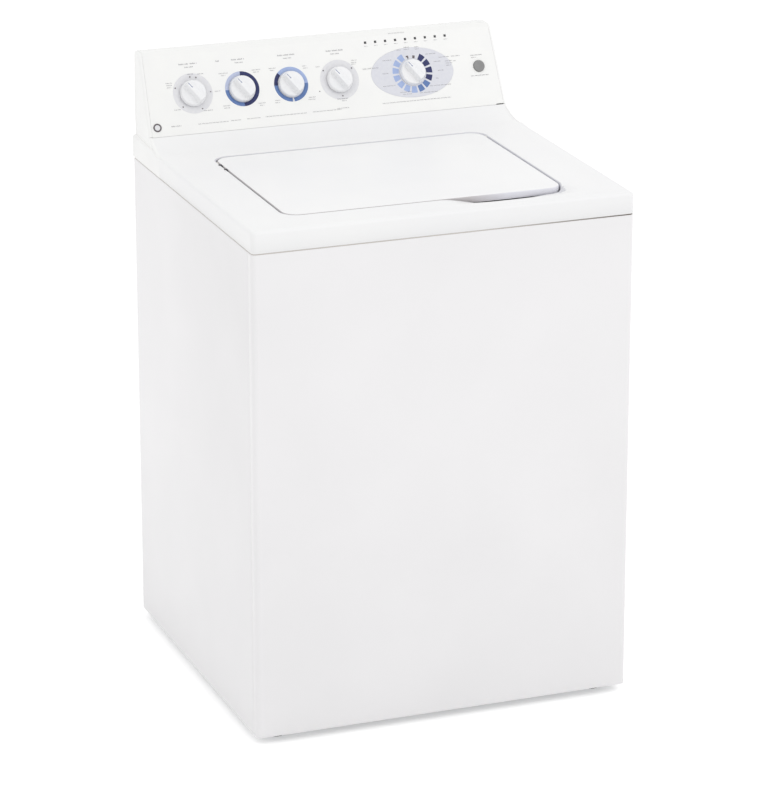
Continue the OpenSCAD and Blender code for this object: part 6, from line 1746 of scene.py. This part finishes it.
# %% Dress the carried solids
carried = {
    frame_steel: ["base_frame", "suspension_brackets", "platform"],
    zinc_hardware: ["foot_locknuts", "lid_hinge_pins"],
    spring_steel: ["suspension_springs", "suspension_rods"],
    steel_shaft: ["spin_tube", "drive_shaft", "bearings", "motor_pulley"],
    cast_alloy: ["drive_housing", "drive_pulley", "basket_hub"],
    motor_paint: ["motor_body"],
    board_green: ["control_board"],
    rubber_black: ["levelling_feet", "drive_belt", "tub_seal", "cord_gland"],
    hose_grey: ["fill_hose", "drain_hose"],
    dark_plastic: ["wiring_harness"],
    switch_plastic: ["lid_switch", "selector_switches", "pressure_switch"],
    plunger_plastic: ["lid_switch_plunger"],
    acetal: ["lid_hinge_bushes", "suspension_cups"],
    pump_plastic: ["pump_housing", "pump_impeller"],
    tub_plastic: ["outer_tub"],
}
for material, names in carried.items():
    for name in names:
        solid = frame["nodes"][name].data
        solid.materials.clear()
        solid.materials.append(material)
print("carried solids:", sum(len(names) for names in carried.values()))

# %% [markdown]
# ## Floor, light and camera
#
# A white machine on a white ground is the hardest thing to light: every face wants to clip. The world is a
# pale even dome that gives most of the light, one large soft lamp from the front right gives the faces their
# small differences, and the ground is lifted towards white only for the camera and for reflections, so that
# it lights nothing.

# %% Ground
GROUND_LIFT, GROUND_REACH = 0.35, 30.0


def seen_directly(tree):
    """One for rays from the camera, from a reflection or through glass, and nought for rays that gather
    light."""
    path, either, any_of = (tree.nodes.new(kind)
                            for kind in ("ShaderNodeLightPath", "ShaderNodeMath", "ShaderNodeMath"))
    either.operation = any_of.operation = "MAXIMUM"
    tree.links.new(path.outputs["Is Camera Ray"], either.inputs[0])
    tree.links.new(path.outputs["Is Glossy Ray"], either.inputs[1])
    tree.links.new(either.outputs[0], any_of.inputs[0])
    tree.links.new(path.outputs["Is Transmission Ray"], any_of.inputs[1])
    return any_of.outputs[0]


def ground_material():
    """Diffuse ground that keeps the shadow, with a veil of white that only camera and reflection rays see."""
    made = bpy.data.materials.new("studio_ground")
    made.use_nodes = True
    tree = made.node_tree
    tree.nodes.clear()
    output = tree.nodes.new("ShaderNodeOutputMaterial")
    diffuse = tree.nodes.new("ShaderNodeBsdfDiffuse")
    diffuse.inputs["Color"].default_value = (0.9, 0.9, 0.9, 1)
    veil = tree.nodes.new("ShaderNodeEmission")
    lift = tree.nodes.new("ShaderNodeMath")
    lift.operation, lift.inputs[1].default_value = "MULTIPLY", GROUND_LIFT
    both = tree.nodes.new("ShaderNodeAddShader")
    tree.links.new(seen_directly(tree), lift.inputs[0])
    tree.links.new(lift.outputs[0], veil.inputs["Strength"])
    tree.links.new(diffuse.outputs[0], both.inputs[0])
    tree.links.new(veil.outputs[0], both.inputs[1])
    tree.links.new(both.outputs[0], output.inputs["Surface"])
    return made


ground_mesh = build_mesh("ground", filled(round_box(GROUND_REACH, GROUND_REACH, 2.0)))
ground = bpy.data.objects.new("ground", ground_mesh)
ground.data.materials.append(ground_material())
bpy.context.scene.collection.objects.link(ground)

# %% Light
world = bpy.data.worlds.new("studio_dome")
bpy.context.scene.world = world
world.use_nodes = True
sky = world.node_tree
back_shade = sky.nodes["Background"]
back_shade.inputs["Color"].default_value = (1.0, 1.0, 1.0, 1)
DOME = 0.97
strength = sky.nodes.new("ShaderNodeMapRange")
strength.inputs["To Min"].default_value, strength.inputs["To Max"].default_value = DOME, 1.0
sky.links.new(seen_directly(sky), strength.inputs["Value"])
sky.links.new(strength.outputs["Result"], back_shade.inputs["Strength"])


def softbox(name, place, aim, side, power):
    """A square area lamp at a place, turned towards a point."""
    lamp = bpy.data.lights.new(name, "AREA")
    lamp.size, lamp.energy = side, power
    holder = bpy.data.objects.new(name, lamp)
    bpy.context.scene.collection.objects.link(holder)
    holder.location = place
    direction = Vector(aim) - Vector(place)
    holder.rotation_euler = direction.to_track_quat("-Z", "Y").to_euler()


softbox("key_softbox", (2.6, -3.4, 4.2), (0, 0, 0.7), 2.6, 24)
print("dome strength", DOME)

# %% [markdown]
# The camera stands in front of the machine, to its left and above it, and looks slightly down with a long
# lens, which keeps the upright edges nearly parallel.

# %% Camera
CAMERA_PLACE = (-2.360, -6.259, 2.769)
CAMERA_YAW, CAMERA_PITCH, CAMERA_LENS = 20.78, 18.91, 179.55
camera = bpy.data.objects.new("camera", bpy.data.cameras.new("camera"))
camera.data.lens, camera.data.sensor_width = CAMERA_LENS, 36
camera.location = CAMERA_PLACE
camera.rotation_euler = (math.radians(90 - CAMERA_PITCH), 0, -math.radians(CAMERA_YAW))
camera.data.clip_end = 100
bpy.context.scene.collection.objects.link(camera)
bpy.context.scene.camera = camera
bpy.context.scene.view_settings.view_transform = "Standard"
